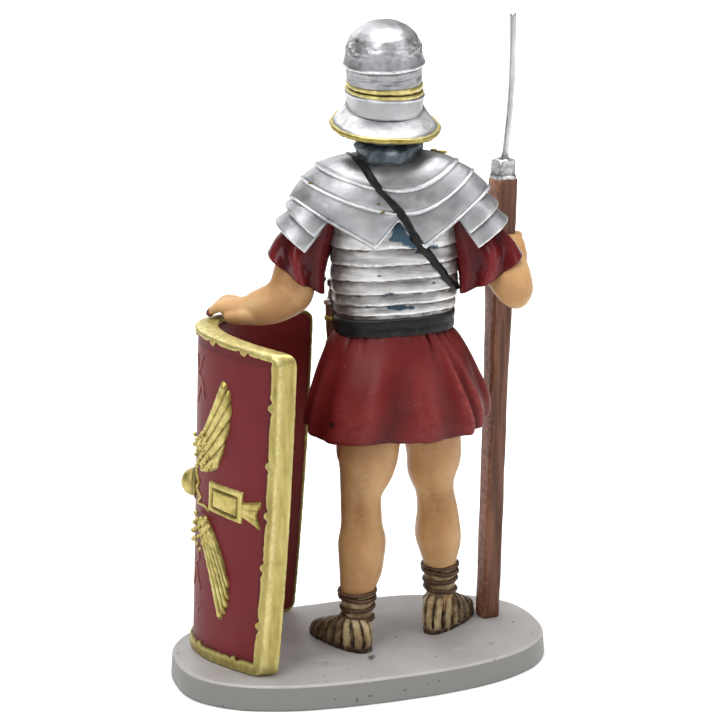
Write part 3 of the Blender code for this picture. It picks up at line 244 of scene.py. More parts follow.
looks = {
    "silver": dict(dark=(0.31, 0.315, 0.325), base=(0.44, 0.445, 0.46), light=(0.60, 0.605, 0.62),
                   washAndShade=(0.035, 0.040, 0.050), wornAndHighlight=(0.95, 0.95, 0.96), metal=0.92, gloss=(0.36, 0.50),
                   toneScale=150.0, spread=0.24, bumpScale=1000.0, bumpStrength=0.5, bumpDepth=0.00012,
                   stain=(0.16, 0.12, 0.03)),
    "hoopSilver": dict(dark=(0.27, 0.265, 0.26), base=(0.47, 0.465, 0.46), light=(0.76, 0.76, 0.755),
                       washAndShade=(0.070, 0.046, 0.036), wornAndHighlight=(0.93, 0.93, 0.93), metal=0.8, gloss=(0.30, 0.5),
                       toneScale=300.0, stretch=(0.3, 0.3, 1.8), bumpScale=420.0, bumpStrength=0.7,
                       bumpDepth=0.0002, stain=(0.055, 0.095, 0.135)),
    "gold": dict(dark=(0.32, 0.25, 0.060), base=(0.48, 0.39, 0.110), light=(0.62, 0.52, 0.19),
                 washAndShade=(0.055, 0.042, 0.012), wornAndHighlight=(0.85, 0.77, 0.36), metal=0.7, gloss=(0.30, 0.46),
                 toneScale=420.0, bumpScale=900.0, bumpStrength=0.45, bumpDepth=0.00012),
    "borderGold": dict(dark=(0.36, 0.285, 0.080), base=(0.46, 0.375, 0.115), light=(0.56, 0.47, 0.17),
                       washAndShade=(0.060, 0.045, 0.015), wornAndHighlight=(0.85, 0.77, 0.38), metal=0.65, gloss=(0.32, 0.48),
                       toneScale=800.0, stretch=(1.0, 1.0, 0.14), bumpScale=800.0, bumpStrength=0.5,
                       bumpDepth=0.00014),
    "tunicRed": dict(dark=(0.100, 0.007, 0.006), base=(0.132, 0.010, 0.009), light=(0.170, 0.017, 0.015),
                     washAndShade=(0.020, 0.005, 0.006), wornAndHighlight=(0.30, 0.060, 0.055), gloss=(0.38, 0.5), shine=0.22,
                     toneScale=90.0, spread=0.22, bumpScale=420.0, bumpStrength=0.22, coat=0.06,
                     coatRough=0.35, specks=(0.24, 0.07, 0.065), speckScale=900.0, speckFrom=0.79),
    "sleeveRed": dict(dark=(0.075, 0.005, 0.006), base=(0.100, 0.006, 0.008), light=(0.14, 0.011, 0.013),
                      washAndShade=(0.018, 0.003, 0.005), wornAndHighlight=(0.28, 0.050, 0.055), gloss=(0.20, 0.28), shine=0.16,
                      toneScale=110.0, bumpScale=420.0, bumpStrength=0.15, coat=0.10, coatRough=0.12),
    "skin": dict(dark=(0.42, 0.220, 0.088), base=(0.53, 0.305, 0.130), light=(0.61, 0.40, 0.20),
                 washAndShade=(0.27, 0.110, 0.035), wornAndHighlight=(0.72, 0.55, 0.34), gloss=(0.36, 0.5), shine=0.35,
                 toneScale=95.0, spread=0.2, patch=(0.46, 0.205, 0.068), patchScale=80.0,
                 patchRange=(0.54, 0.72), patchAmount=0.45, bumpScale=300.0, bumpStrength=0.2, skinDepth=0.06,
                 specks=(0.30, 0.16, 0.08), speckScale=850.0, speckFrom=0.79, stain=(0.13, 0.018, 0.022)),
    "strapBeige": dict(dark=(0.17, 0.105, 0.045), base=(0.35, 0.245, 0.12), light=(0.52, 0.41, 0.23),
                       washAndShade=(0.028, 0.013, 0.007), wornAndHighlight=(0.60, 0.50, 0.30), gloss=(0.36, 0.52), shine=0.3,
                       toneScale=420.0, spread=0.13, bumpScale=1200.0, bumpStrength=0.4, washAndShadeAmount=1.0),
    "ropeBrown": dict(dark=(0.035, 0.015, 0.008), base=(0.065, 0.029, 0.015), light=(0.13, 0.064, 0.032),
                      washAndShade=(0.018, 0.009, 0.006), wornAndHighlight=(0.26, 0.15, 0.08), gloss=(0.32, 0.48), shine=0.3,
                      toneScale=700.0, bumpScale=1500.0),
    "blackLeather": dict(dark=(0.006, 0.006, 0.006), base=(0.010, 0.010, 0.011), light=(0.018, 0.019, 0.019),
                         washAndShade=(0.005, 0.005, 0.005), wornAndHighlight=(0.085, 0.085, 0.080), gloss=(0.26, 0.44),
                         shine=0.22, toneScale=400.0, bumpScale=900.0),
    "slateCloth": dict(dark=(0.035, 0.050, 0.060), base=(0.075, 0.100, 0.115), light=(0.16, 0.19, 0.22),
                       washAndShade=(0.012, 0.016, 0.018), wornAndHighlight=(0.42, 0.46, 0.50), metal=0.35, gloss=(0.32, 0.48),
                       toneScale=380.0, bumpScale=900.0),
    "scabbardBrown": dict(dark=(0.06, 0.022, 0.012), base=(0.12, 0.045, 0.026), light=(0.20, 0.09, 0.05),
                          washAndShade=(0.02, 0.01, 0.008), wornAndHighlight=(0.32, 0.18, 0.10), gloss=(0.3, 0.45),
                          toneScale=500.0, bumpScale=1000.0),
    "shieldRed": dict(dark=(0.135, 0.011, 0.014), base=(0.158, 0.014, 0.018), light=(0.185, 0.021, 0.025),
                      washAndShade=(0.055, 0.010, 0.012), wornAndHighlight=(0.42, 0.22, 0.19), gloss=(0.40, 0.48), shine=0.16,
                      toneScale=60.0, spread=0.25, bumpScale=520.0, bumpStrength=0.12,
                      coat=0.04, coatRough=0.4, specks=(0.30, 0.11, 0.10), speckScale=900.0, speckFrom=0.80),
    "shieldInner": dict(dark=(0.140, 0.011, 0.010), base=(0.170, 0.014, 0.013), light=(0.210, 0.020, 0.019),
                        washAndShade=(0.03, 0.005, 0.006), wornAndHighlight=(0.26, 0.05, 0.05), gloss=(0.40, 0.5), shine=0.28,
                        toneScale=80.0, spread=0.25, bumpScale=500.0, bumpStrength=0.15),
    "baseGrey": dict(dark=(0.325, 0.308, 0.304), base=(0.375, 0.358, 0.352), light=(0.42, 0.405, 0.398),
                     washAndShade=(0.060, 0.055, 0.048), wornAndHighlight=(0.55, 0.53, 0.51), gloss=(0.36, 0.52),
                     toneScale=70.0, spread=0.22, bumpScale=260.0, bumpStrength=0.35, bumpDepth=0.00014,
                     specks=(0.07, 0.06, 0.05), speckScale=750.0, speckFrom=0.765,
                     stain=(0.225, 0.223, 0.212)),
    "spearBrown": dict(dark=(0.058, 0.021, 0.010), base=(0.110, 0.042, 0.021), light=(0.190, 0.080, 0.044),
                       washAndShade=(0.040, 0.016, 0.009), wornAndHighlight=(0.36, 0.16, 0.10), gloss=(0.32, 0.46), shine=0.28,
                       toneScale=620.0, stretch=(1.0, 1.0, 0.09), bumpScale=700.0, bumpStrength=0.4),
    "ferrule": dict(dark=(0.20, 0.20, 0.195), base=(0.35, 0.35, 0.345), light=(0.62, 0.62, 0.61),
                    washAndShade=(0.07, 0.06, 0.05), wornAndHighlight=(0.93, 0.93, 0.92), metal=0.85, gloss=(0.24, 0.42),
                    toneScale=700.0, bumpScale=900.0, bumpStrength=0.7, bumpDepth=0.0002),
    "wireSteel": dict(dark=(0.42, 0.415, 0.41), base=(0.56, 0.555, 0.55), light=(0.70, 0.70, 0.70),
                      washAndShade=(0.10, 0.10, 0.10), wornAndHighlight=(0.8, 0.8, 0.8), metal=1.0, gloss=(0.26, 0.36),
                      toneScale=700.0, stretch=(1.0, 1.0, 0.2), bumpScale=1500.0),
}
finishes = {name: paintFinish(name, look) for name, look in looks.items()}
print("finishes made:", len(finishes))


# Meshes. A piece is made from points in millimetres, with a washAndShade value from -1, wear and painted
# highlight, to 1, dark wash and painted shade.


def setValues(mesh, name, values):
    old = mesh.attributes.get(name)
    if old:
        mesh.attributes.remove(old)
    mesh.attributes.new(name, "FLOAT", "POINT").data.foreach_set("value", values)


def makePiece(name, points, faces, finish, node, place=figurePlace, washAndShade=None, rough=None, stainAt=None):
    mesh = bpy.data.meshes.new(name)
    mesh.from_pydata([tuple(point) for point in points], [], faces)
    setValues(mesh, "washAndShade", washAndShade if washAndShade else [0.0] * len(points))
    if stainAt:
        setValues(mesh, "stain", [stainAt(Vector(point)) for point in points])
    piece = bpy.data.objects.new(name, mesh)
    bpy.context.scene.collection.objects.link(piece)
    bm = bmesh.new()
    bm.from_mesh(mesh)
    bmesh.ops.recalc_face_normals(bm, faces=bm.faces)
    if rough:
        amount, size = rough
        bm.normal_update()
        for vert in bm.verts:
            vert.co += vert.normal * amount * wobble(vert.co, size, len(name))
    bm.to_mesh(mesh)
    bm.free()
    mesh.transform(place)
    mesh.shade_smooth()
    mesh.materials.append(finishes[finish])
    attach(piece, "root")
    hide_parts(node)
    return piece


# points, faces and wash-and-shade values through rings of points; open ends get a fan
def loftShape(rings, washAndShadeRows=None, closed=False):
    points = [point for ring in rings for point in ring]
    washAndShade = []
    for k, ring in enumerate(rings):
        value = washAndShadeRows[k] if washAndShadeRows else 0.0
        washAndShade += list(value) if isinstance(value, (list, tuple)) else [value] * len(ring)
    count = len(rings[0])
    faces = []
    spans = len(rings) if closed else len(rings) - 1
    for k in range(spans):
        a, b = k * count, ((k + 1) % len(rings)) * count
        for i in range(count):
            j = (i + 1) % count
            faces.append((a + i, a + j, b + j, b + i))
    if not closed:
        for k in (0, len(rings) - 1):
            middle = sum((Vector(p) for p in rings[k]), Vector()) / count
            points.append(middle)
            washAndShade.append(washAndShade[k * count])
            for i in range(count):
                faces.append((k * count + i, k * count + (i + 1) % count, len(points) - 1))
    return points, faces, washAndShade


def joinShapes(shapes):
    points, faces, washAndShade = [], [], []
    for shapePoints, shapeFaces, shapeWashAndShade in shapes:
        start = len(points)
        points += shapePoints
        faces += [tuple(start + i for i in face) for face in shapeFaces]
        washAndShade += shapeWashAndShade
    return points, faces, washAndShade


def joinedPiece(name, shapes, finish, node="soldier", **more):
    points, faces, washAndShade = joinShapes(shapes)
    return makePiece(name, points, faces, finish, node, washAndShade=washAndShade, **more)


def loftPiece(name, rings, finish, washAndShadeRows=None, node="soldier", closed=False, **more):
    return joinedPiece(name, [loftShape(rings, washAndShadeRows, closed)], finish, node, **more)


def oval(centre, across, along, halfAcross, halfAlong, sides, exponent=2.0):
    ring = []
    for i in range(sides):
        angle = 2.0 * math.pi * i / sides
        a = power(math.cos(angle), 2.0 / exponent) * halfAcross
        b = power(math.sin(angle), 2.0 / exponent) * halfAlong
        ring.append(centre + across * a + along * b)
    return ring


def tubeRings(stations, sides, steps, across=alongX, exponent=2.0):
    rows = smoothRows([[*place, wide, deep] for place, wide, deep in stations], steps)
    places = [Vector(row[:3]) for row in rows]
    rings = []
    for k, row in enumerate(rows):
        ahead = (places[min(k + 1, len(places) - 1)] - places[max(k - 1, 0)]).normalized()
        side = (across - ahead * across.dot(ahead)).normalized()
        rings.append(oval(places[k], side, ahead.cross(side), row[3], row[4], sides, exponent))
    return rings


# forms melted into one skin, for hands and the like
def softUnion(name, shapes, voxel, rounds, washAndShadeAt, stainAt=None):
    piece = joinedPiece(name, shapes, "skin")
    remesh = piece.modifiers.new("skin", "REMESH")
    remesh.mode = "VOXEL"
    remesh.voxel_size = voxel * 0.001
    soften = piece.modifiers.new("soften", "SMOOTH")
    soften.factor = 0.5
    soften.iterations = rounds
    evaluated = piece.evaluated_get(bpy.context.evaluated_depsgraph_get())
    mesh = bpy.data.meshes.new_from_object(evaluated)
    piece.modifiers.clear()
    piece.data = mesh
    mesh.shade_smooth()
    back = figurePlace.inverted()
    setValues(mesh, "washAndShade", [washAndShadeAt(back @ vert.co) for vert in mesh.vertices])
    if stainAt:
        setValues(mesh, "stain", [stainAt(back @ vert.co) for vert in mesh.vertices])
    if not mesh.materials:
        mesh.materials.append(finishes["skin"])


# Base

baseShape = {"squareness": 2.5, "flare": 0.5, "round": 0.65, "sides": 480}
baseLength = (baseHigh.x - baseLow.x) * 1000.0 - 2.0 * baseShape["flare"]
baseWidth = (baseHigh.y - baseLow.y) * 1000.0 - 2.0 * baseShape["flare"]
baseThickness = baseHigh.z * 1000.0 + pieceGap


# darker and lighter spots on the top, one broad beside the shield's foot, turned with the figure: x, y, size
# across, size along, darkness
baseMarks = [(-2.1, 10.4, 0.40, 1.0, 3.0), (10.8, 9.5, 5.0, 3.5, 0.2), (6.5, 13.5, 3.0, 1.0, 0.15),
             (-19.5, 6.0, 1.2, 0.8, -0.6), (-25.5, 3.0, 0.5, 0.5, 0.6), (-13.0, 4.0, 3.0, 1.5, 0.1),
             (5.0, 11.2, 3.5, 0.25, -0.5)]
# nicks in the side that faces back: x, height, half width, half height
sideMarks = [(4.5, 1.9, 0.32, 0.20), (-2.0, 1.8, 0.28, 0.24), (-2.2, 3.0, 0.28, 0.15),
             (-8.6, 2.1, 0.34, 0.20), (-13.0, 2.6, 0.20, 0.50), (-15.0, 2.9, 0.24, 0.14),
             (-18.0, 1.9, 0.24, 0.12)]


def spotSum(marks, across, along):
    return sum(dark * math.exp(-((across - a) / wide) ** 2 - ((along - b) / deep) ** 2)
               for a, b, wide, deep, dark in marks)


def baseMark(point):
    spot = Matrix.Rotation(-figureTurn, 3, "Z") @ point
    if point.z > baseThickness - 0.1:
        return spotSum(baseMarks, spot.x, spot.y)
    if spot.y < 0.0:
        return 0.0
    return min(2.2 * spotSum([(*mark, 1.0) for mark in sideMarks], spot.x, spot.z), 2.4)


def makeBase():
    # the plinth's foot is painted darker, painted shade where it meets the floor, and its rounded top edge
    # lighter, a painted highlight
    profile = [(0.0, 0.0, 0.5), (0.25, 0.2, 0.4), (0.6, 0.25, 0.1)]
    for k in range(1, 15):
        t = k / 15
        profile.append((mixed(0.6, baseThickness - baseShape["round"], t), mixed(0.25, 0.0, t), 0.0))
    for k in range(9):
        angle = 0.5 * math.pi * k / 8
        height = baseThickness - baseShape["round"] * (1.0 - math.sin(angle))
        profile.append((height, -baseShape["round"] * (1.0 - math.cos(angle)),
                        -0.45 * bump(k, 4, 2.0)))
    for k in range(1, 48):
        profile.append((baseThickness, -baseShape["round"] - 0.38 * k, 0.0))
    rings, washAndShadeRows = [], []
    for height, out, value in profile:
        half = (0.5 * baseLength + out, 0.5 * baseWidth + out)
        ring = oval(alongZ * height, alongX, alongY, *half, baseShape["sides"], baseShape["squareness"])
        rings.append([p + Vector((0, 0, 0.05 * wobble(p, 9.0))) if height > 1.0 else p for p in ring])
        washAndShadeRows.append([value + baseMark(p) for p in ring])

    def baseSideShade(point):  # painted shade: the side is painted darker than the top
        return ease(baseThickness - 0.45 - point.z, -0.25, 0.25) - 0.8 * baseMark(point)

    loftPiece("plinth", rings, "baseGrey", washAndShadeRows, "base", place=basePlace, rough=(0.10, 5.0),
              stainAt=baseSideShade)


# Legs

legs = {
    "left": {
        "heel": (-1.4, 7.9), "toesPointTo": -52.0, "ankle": 5.4, "ropes": (6.0, 8.0, 10.1),
        "stations": [
            ((0.5, 3.4, 2.5), 2.6, 2.9), ((0.45, 3.4, 7.5), 2.7, 3.0), ((0.5, 3.4, 11.6), 3.3, 3.5),
            ((-0.1, 2.9, 15.6), 4.2, 4.4), ((-0.4, 2.5, 20.7), 4.6, 4.8), ((-0.3, 1.7, 24.8), 3.95, 4.3),
            ((-0.2, 0.9, 29.8), 4.05, 4.3), ((-1.2, 0.4, 34.9), 5.3, 5.3), ((-1.5, 0.0, 38.9), 6.1, 6.0),
            ((-2.0, -0.6, 50.0), 6.2, 6.4),
        ],
    },
    "right": {
        "heel": (-13.6, -1.6), "toesPointTo": -119.0, "ankle": 6.6, "ropes": (8.6, 10.5, 12.3),
        "stations": [
            ((-15.9, -5.4, 3.0), 2.5, 2.8), ((-15.85, -5.4, 9.0), 2.7, 2.95),
            ((-15.75, -5.4, 13.4), 3.2, 3.3), ((-15.55, -5.0, 17.7), 4.15, 4.2),
            ((-15.2, -4.8, 20.8), 4.45, 4.6), ((-15.1, -5.2, 25.0), 3.95, 4.2),
            ((-14.5, -5.2, 29.1), 3.75, 4.1), ((-14.05, -4.6, 33.1), 4.85, 4.9),
            ((-14.2, -3.8, 38.0), 5.4, 5.5), ((-12.4, -2.0, 50.0), 6.0, 6.2),
        ],
    },
}


knee, calf = 27.5, 20.0  # heights


def makeLeg(side, values):
    rings, washAndShadeRows = [], []
    for ring in tubeRings(values["stations"], 72, 9):
        centre = sum(ring, Vector()) / len(ring)
        row = []
        shades = []
        for point in ring:
            way = (point - centre).normalized()
            back = max(way.y, 0.0)
            out = 0.35 * back ** 2 * bump(centre.z, calf, 4.5)
            out -= 0.30 * back ** 4 * bump(centre.z, knee, 2.6)
            sinews = bump(way.x, 0.62, 0.25) + bump(way.x, -0.62, 0.25)
            out += 0.22 * sinews * back * bump(centre.z, knee + 1.0, 5.0)
            kneecap = max(-way.y, 0.0) ** 3
            out += 0.30 * kneecap * bump(centre.z, knee + 1.5, 2.5)
            row.append(point + way * out)
            # painted shade behind the knee, down the middle of the back of the leg and under the skirt's hem,
            # painted highlight towards the sides, and darker towards the ankle
            shades.append(0.36 * bump(centre.z, knee, 4.5) * back ** 3 + 0.6 * ease(centre.z, 38.0, 43.0)
                          + 0.30 * bump(way.x, 0.1, 0.4) * back - 0.22 * (1.0 - back)
                          + 0.44 * ease(-centre.z, -14.0, -10.5))
        rings.append(row)
        washAndShadeRows.append(shades)
    loftPiece(side + "Leg", rings, "skin", washAndShadeRows, rough=(0.12, 4.0))


# Sandals: upright straps, darker between them, and rope turns round the ankle

sandal = {"length": 16.4, "sole": 0.9, "straps": 22, "rise": 0.55, "ropeRadius": 0.5}


def footPoint(values, angle, height, start, length, halfWidth):
    ahead = unitTurn(values["toesPointTo"])
    side = Vector((-ahead.y, ahead.x, 0.0))
    s = 0.5 - 0.5 * math.cos(angle)
    wide = halfWidth * power(math.sin(angle), 0.75) * (0.84 + 0.24 * s)
    heel = Vector((*values["heel"], height))
    return heel + ahead * (start + length * s) + side * wide


def makeSandal(side, values):
    top = values["ankle"]
    length = sandal["length"]
    # height, start behind the heel, share of the length, half width, how far the straps stand out
    levels = [
        (0.0, -0.1, 1.00, 3.45, 0.0), (0.15, -0.15, 1.02, 3.6, 0.0), (sandal["sole"], -0.1, 1.02, 3.6, 0.0),
        (sandal["sole"] + 0.1, 0.2, 0.98, 3.05, 0.5), (0.28 * top, 0.15, 0.96, 3.05, 1.0),
        (0.42 * top, 0.1, 0.92, 3.0, 1.0), (0.6 * top, 0.25, 0.77, 2.95, 1.0),
        (0.76 * top, 0.5, 0.62, 2.85, 1.0), (0.9 * top, 0.72, 0.51, 2.75, 1.0), (top, 0.9, 0.42, 2.65, 0.9),
        (1.08 * top, 1.2, 0.37, 2.5, 0.4), (1.08 * top + 0.5, 1.5, 0.34, 2.3, 0.0),
    ]
    rings, washAndShadeRows = [], []
    for height, start, share, halfWidth, ridged in smoothRows(levels, 4):
        ring, shades = [], []
        columns = 260
        for i in range(columns):
            angle = 2.0 * math.pi * i / columns
            point = footPoint(values, angle, height, start, share * length, halfWidth)
            # the straps stand nearly upright at the heel and spread towards the toes
            reach = min(max(share * (0.5 - 0.5 * math.cos(angle)), 0.0), 1.0)
            upright = math.acos(1.0 - 2.0 * reach)
            turned = mixed(angle, upright if angle < math.pi else 2.0 * math.pi - upright, 0.7)
            phase = turned - 0.42 * math.sin(turned) + 0.03 * math.sin(5.0 * turned)
            strap = 0.5 + 0.5 * math.cos(sandal["straps"] * phase)
            high = ease(strap, 0.10, 0.38)
            way = Vector((-math.cos(angle), math.sin(angle), 0.0))
            ahead = unitTurn(values["toesPointTo"])
            way = ahead * way.x + Vector((-ahead.y, ahead.x, 0.0)) * way.y
            point = point + way * sandal["rise"] * high * min(max(ridged, 0.0), 1.0)
            ring.append(point)
            # darker between the straps, on the sole and towards the toes, and a painted highlight along the
            # crest of each strap
            sole = ease(-height, -sandal["sole"] - 0.25, -sandal["sole"] + 0.1)
            toes = 0.7 * ease(0.5 - 0.5 * math.cos(angle), 0.2, 0.55)
            shades.append(max(1.0 - high, 0.95 * sole, toes) - 0.35 * bump(strap, 0.95, 0.12) * (1.0 - sole))
        rings.append(ring)
        washAndShadeRows.append(shades)
    loftPiece(side + "Sandal", rings, "strapBeige", washAndShadeRows, rough=(0.12, 1.2))


def ankleAt(values, height):
    rows = smoothRows([[*place, wide, deep] for place, wide, deep in values["stations"]], 8)
    for low, high in zip(rows, rows[1:]):
        if low[2] <= height <= high[2]:
            t = (height - low[2]) / (high[2] - low[2])
            return [mixed(a, b, t) for a, b in zip(low, high)]
    return rows[0]


def makeRopes(side, values):
    shapes = []
    for k, height in enumerate(values["ropes"] + (values["ropes"][-1] + 1.1,)):
        x, y, z, wide, deep = ankleAt(values, height)
        radius = sandal["ropeRadius"] * (1.0 if k < 3 else 0.75)
        tilt = (0.10, -0.06, 0.08, -0.04)[k]
        rings, washAndShadeRows = [], []
        steps = 72
        for i in range(steps):
            way = unitTurn(360.0 * i / steps)
            lift = tilt * way.x * wide + 0.06 * math.sin(5.0 * math.radians(360.0 * i / steps) + k)
            centre = Vector((x + way.x * (wide + 0.25), y + way.y * (deep + 0.25), z + lift))
            ring, shades = [], []
            for j in range(10):
                turn = 2.0 * math.pi * j / 10
                twist = 1.0 + 0.16 * math.cos(2.0 * turn + 22.0 * math.radians(360.0 * i / steps))
                ring.append(centre + (way * math.cos(turn) + Vector((0, 0, math.sin(turn)))) * radius * twist)
                # painted shade under each rope and a painted highlight on top
                shades.append(0.5 * max(-math.sin(turn), 0.0) - 0.25 * bump(math.sin(turn), 0.6, 0.2))
            rings.append(ring)
            washAndShadeRows.append(shades)
        shapes.append(loftShape(rings, washAndShadeRows, closed=True))
    joinedPiece(side + "AnkleRopes", shapes, "ropeBrown")
    low, high = values["ropes"][0] - 1.2, values["ropes"][-1] + 0.8
    rings, washAndShadeRows = [], []
    for k in range(16):
        height = mixed(low, high, k / 15)
        x, y, z, wide, deep = ankleAt(values, height)
        grow = 0.28 * bump(k, 7.5, 7.0)
        near = min(abs(height - rope) for rope in values["ropes"])
        centre = Vector((x, y, height))
        rings.append(oval(centre, alongX, alongY, wide + grow, deep + grow, 72))
        # painted shade on the wrap beside each rope
        washAndShadeRows.append(0.45 * bump(near, 0.55, 0.3))
    loftPiece(side + "AnkleWrap", rings, "strapBeige", washAndShadeRows, rough=(0.1, 1.5))


# Tunic skirt

skirt = {
    "hem": 42.6, "top": 63.0,
    "levels": [
        (0.0, -6.4, 10.6, -1.5, 7.6), (0.16, -6.6, 12.7, -1.4, 8.9), (0.45, -6.9, 14.9, -1.2, 11.1),
        (0.78, -7.2, 17.0, -1.0, 12.8), (0.95, -7.0, 17.4, -1.0, 13.2), (1.0, -6.9, 17.2, -1.0, 13.0),
    ],
    # angle at the belt, angle at the hem, width in degrees, height in mm; 90 degrees is the back
    "folds": [
        (132.0, 140.0, 4.5, 1.05), (146.0, 152.5, 4.5, 0.75), (139.0, 146.5, 3.5, -0.7),
        (122.0, 124.0, 8.0, -0.5), (104.0, 108.0, 9.0, 0.6), (97.0, 84.0, 8.0, -0.8),
        (84.0, 70.0, 9.0, 0.55), (56.0, 50.0, 10.0, 0.35),
        (40.0, 36.0, 6.0, -0.3), (30.0, 22.0, 7.0, 0.5), (14.0, 10.0, 5.0, -0.4), (2.0, 2.0, 7.0, 0.5),
        (166.0, 166.0, 5.0, -0.4), (178.0, 176.0, 7.0, 0.6), (192.0, 190.0, 7.0, -0.5),
        (208.0, 208.0, 9.0, 0.8), (232.0, 230.0, 7.0, -0.5), (250.0, 250.0, 9.0, 0.8),
        (276.0, 278.0, 8.0, -0.5), (298.0, 300.0, 9.0, 0.8), (320.0, 322.0, 7.0, -0.5),
        (340.0, 340.0, 8.0, 0.7),
    ],
    # angle, width in degrees, height in mm and share of the way down
    "creases": [(62.0, 2.2, -0.55, 0.10), (58.0, 2.0, 0.25, 0.08), (121.0, 1.6, -0.9, 0.20),
                (124.0, 1.6, 0.45, 0.22), (118.0, 1.6, 0.35, 0.18), (98.0, 2.5, -0.2, 0.1),
                (78.0, 2.5, -0.2, 0.08), (45.0, 3.0, -0.4, 0.15), (136.0, 2.0, -0.4, 0.1),
                (148.0, 2.5, -0.4, 0.12)],
    # paint drops: x, height, size, darkness
    "spots": [(5.3, 45.9, 0.62, 1.6), (5.0, 51.8, 0.28, 0.9), (4.7, 55.0, 0.25, 0.8), (5.6, 50.2, 0.2, 0.7)],
}


def foldDepth(degrees, down):
    depth = 0.0
    for top, low, width, height in skirt["folds"]:
        centre = mixed(top, low, down)
        gap = (degrees - centre + 180.0) % 360.0 - 180.0
        depth += height * math.exp(-(gap / width) ** 2) * ease(down, 0.02, 0.75)
    for centre, width, height, reach in skirt["creases"]:
        gap = (degrees - centre + 180.0) % 360.0 - 180.0
        depth += height * math.exp(-(gap / width) ** 2) * math.exp(-(down / reach) ** 2)
    return depth


def makeSkirt():
    sides = 420
    rings, washAndShadeRows = [], []
    rows = smoothRows(skirt["levels"], 18)
    rows += [(1.0, -6.9, 16.9, -1.0, 12.7), (0.985, -6.9, 16.2, -1.0, 12.0), (0.9, -6.9, 14.5, -1.0, 10.4)]
    for k, (down, cx, halfWidth, cy, halfDepth) in enumerate(rows):
        ring, shades = [], []
        for i in range(sides):
            degrees = 360.0 * i / sides
            angle = math.radians(degrees)
            depth = foldDepth(degrees, down)
            x = cx + (halfWidth + depth) * power(math.cos(angle), 0.92)
            y = cy + (halfDepth + depth) * power(math.sin(angle), 0.92)
            z = skirt["top"] + (skirt["hem"] - skirt["top"]) * down
            lift = -0.06 * (x + 7.0) - 0.35 * math.sin(3.0 * angle) + 0.25 + 1.9 * math.cos(angle) ** 4
            z += down * lift + 0.12 * ease(down, 0.9, 1.0) * wobble((x, y, 0.0), 1.6)
            ring.append(Vector((x, y, z)))
            # painted shade in the fold hollows, under the belt, along the hem and inside it, painted
            # highlight along the fold ridges; the spots are paint drops
            edge = sum(0.5 * height * bump(degrees, mixed(top, low, down), 0.45 * width)
                       for top, low, width, height in skirt["folds"] if height > 0.6)
            edge *= ease(down, 0.1, 0.6)
            spot = sum(dark * math.exp(-(((x - sx) ** 2 + (z - sz) ** 2) / size ** 2) ** 2)
                       for sx, sz, size, dark in skirt["spots"]) if y > 0.0 else 0.0
            shades.append(min(max(-0.6 * depth, -0.25), 0.55) - edge + 0.5 * bump(down, 0.0, 0.05) + spot
                          + 0.35 * bump(down, 1.0, 0.03) + (0.7 if k >= len(rows) - 2 else 0.0))
        rings.append(ring)
        washAndShadeRows.append(shades)
    loftPiece("tunicSkirt", rings, "tunicRed", washAndShadeRows, rough=(0.16, 4.5))


# Sleeves

sleeves = {
    "left": {
        "across": Vector((10.0, 0.0, 7.2)),
        "stations": [((6.0, -1.5, 86.0), 3.6, 4.6, 0.0), ((8.8, -1.4, 80.4), 4.5, 5.2, 0.3),
                     ((10.9, -1.3, 76.4), 5.7, 6.0, 0.6), ((12.1, -1.2, 73.1), 6.5, 6.3, 1.0)],
    },
    "right": {
        "across": Vector((-11.7, 0.0, 7.3)),
        "stations": [((-18.0, -1.5, 86.0), 3.6, 4.6, 0.0), ((-21.0, -1.4, 80.4), 4.6, 5.3, 0.3),
                     ((-23.3, -1.1, 76.4), 5.9, 6.0, 0.6), ((-24.7, -1.0, 73.0), 6.9, 6.2, 1.0)],
    },
}
# around the sleeve from the outer edge over the back: angle, width, height at the hem
sleeveFolds = [(38.0, 17.0, 0.35), (70.0, 15.0, -0.9), (100.0, 13.0, 0.95), (132.0, 16.0, -1.0),
               (165.0, 14.0, 0.35), (210.0, 18.0, -0.4), (250.0, 18.0, 0.5), (300.0, 18.0, -0.3)]
foldTurn = 58.0  # degrees the folds wind round the arm from the shoulder to the hem


def makeSleeve(side, values):
    across = values["across"].normalized()
    down = (across * alongZ.dot(across) - alongZ).normalized()
    rows = smoothRows([[*place, a, b, depth] for place, a, b, depth in values["stations"]], 10)
    rims = [(0.25, -0.25), (0.2, -0.7), (-0.6, -1.1), (-2.4, -1.3)]
    last = rows[-1]
    for drop, inward in rims:
        rows.append([*(Vector(last[:3]) + down * drop), last[3] + inward, last[4] + inward, last[5]])
    rings, washAndShadeRows = [], []
    for k, (x, y, z, halfAcross, halfDepth, depth) in enumerate(rows):
        ring, shades = [], []
        for i in range(120):
            degrees = 3.0 * i
            angle = math.radians(degrees)
            wound = degrees + foldTurn * (1.0 - depth)
            out = sum(height * math.exp(-(((wound - centre + 180.0) % 360.0 - 180.0) / width) ** 2)
                      for centre, width, height in sleeveFolds) * depth
            a = (halfAcross + out) * math.cos(angle)
            b = (halfDepth + out) * math.sin(angle)
            ring.append(Vector((x, y, z)) + across * a + alongY * b)
            # painted shade inside the hem and in the fold hollows, painted highlight on the fold ridges
            inside = 0.8 if k > len(rows) - 3 else 0.0
            shades.append(inside + min(max(-0.75 * out, -0.5), 0.6))
        rings.append(ring)
        washAndShadeRows.append(shades)
    loftPiece(side + "Sleeve", rings, "sleeveRed", washAndShadeRows, rough=(0.10, 4.0))


# Plate armour

torso = {"centre": (-6.5, -1.5), "turn": math.radians(4.0), "tilt": -0.05,
         "hoops": (66.4, 68.3, 70.4, 73.0, 75.8, 78.9), "lip": 0.42, "beltLow": 62.2, "beltHigh": 65.7}


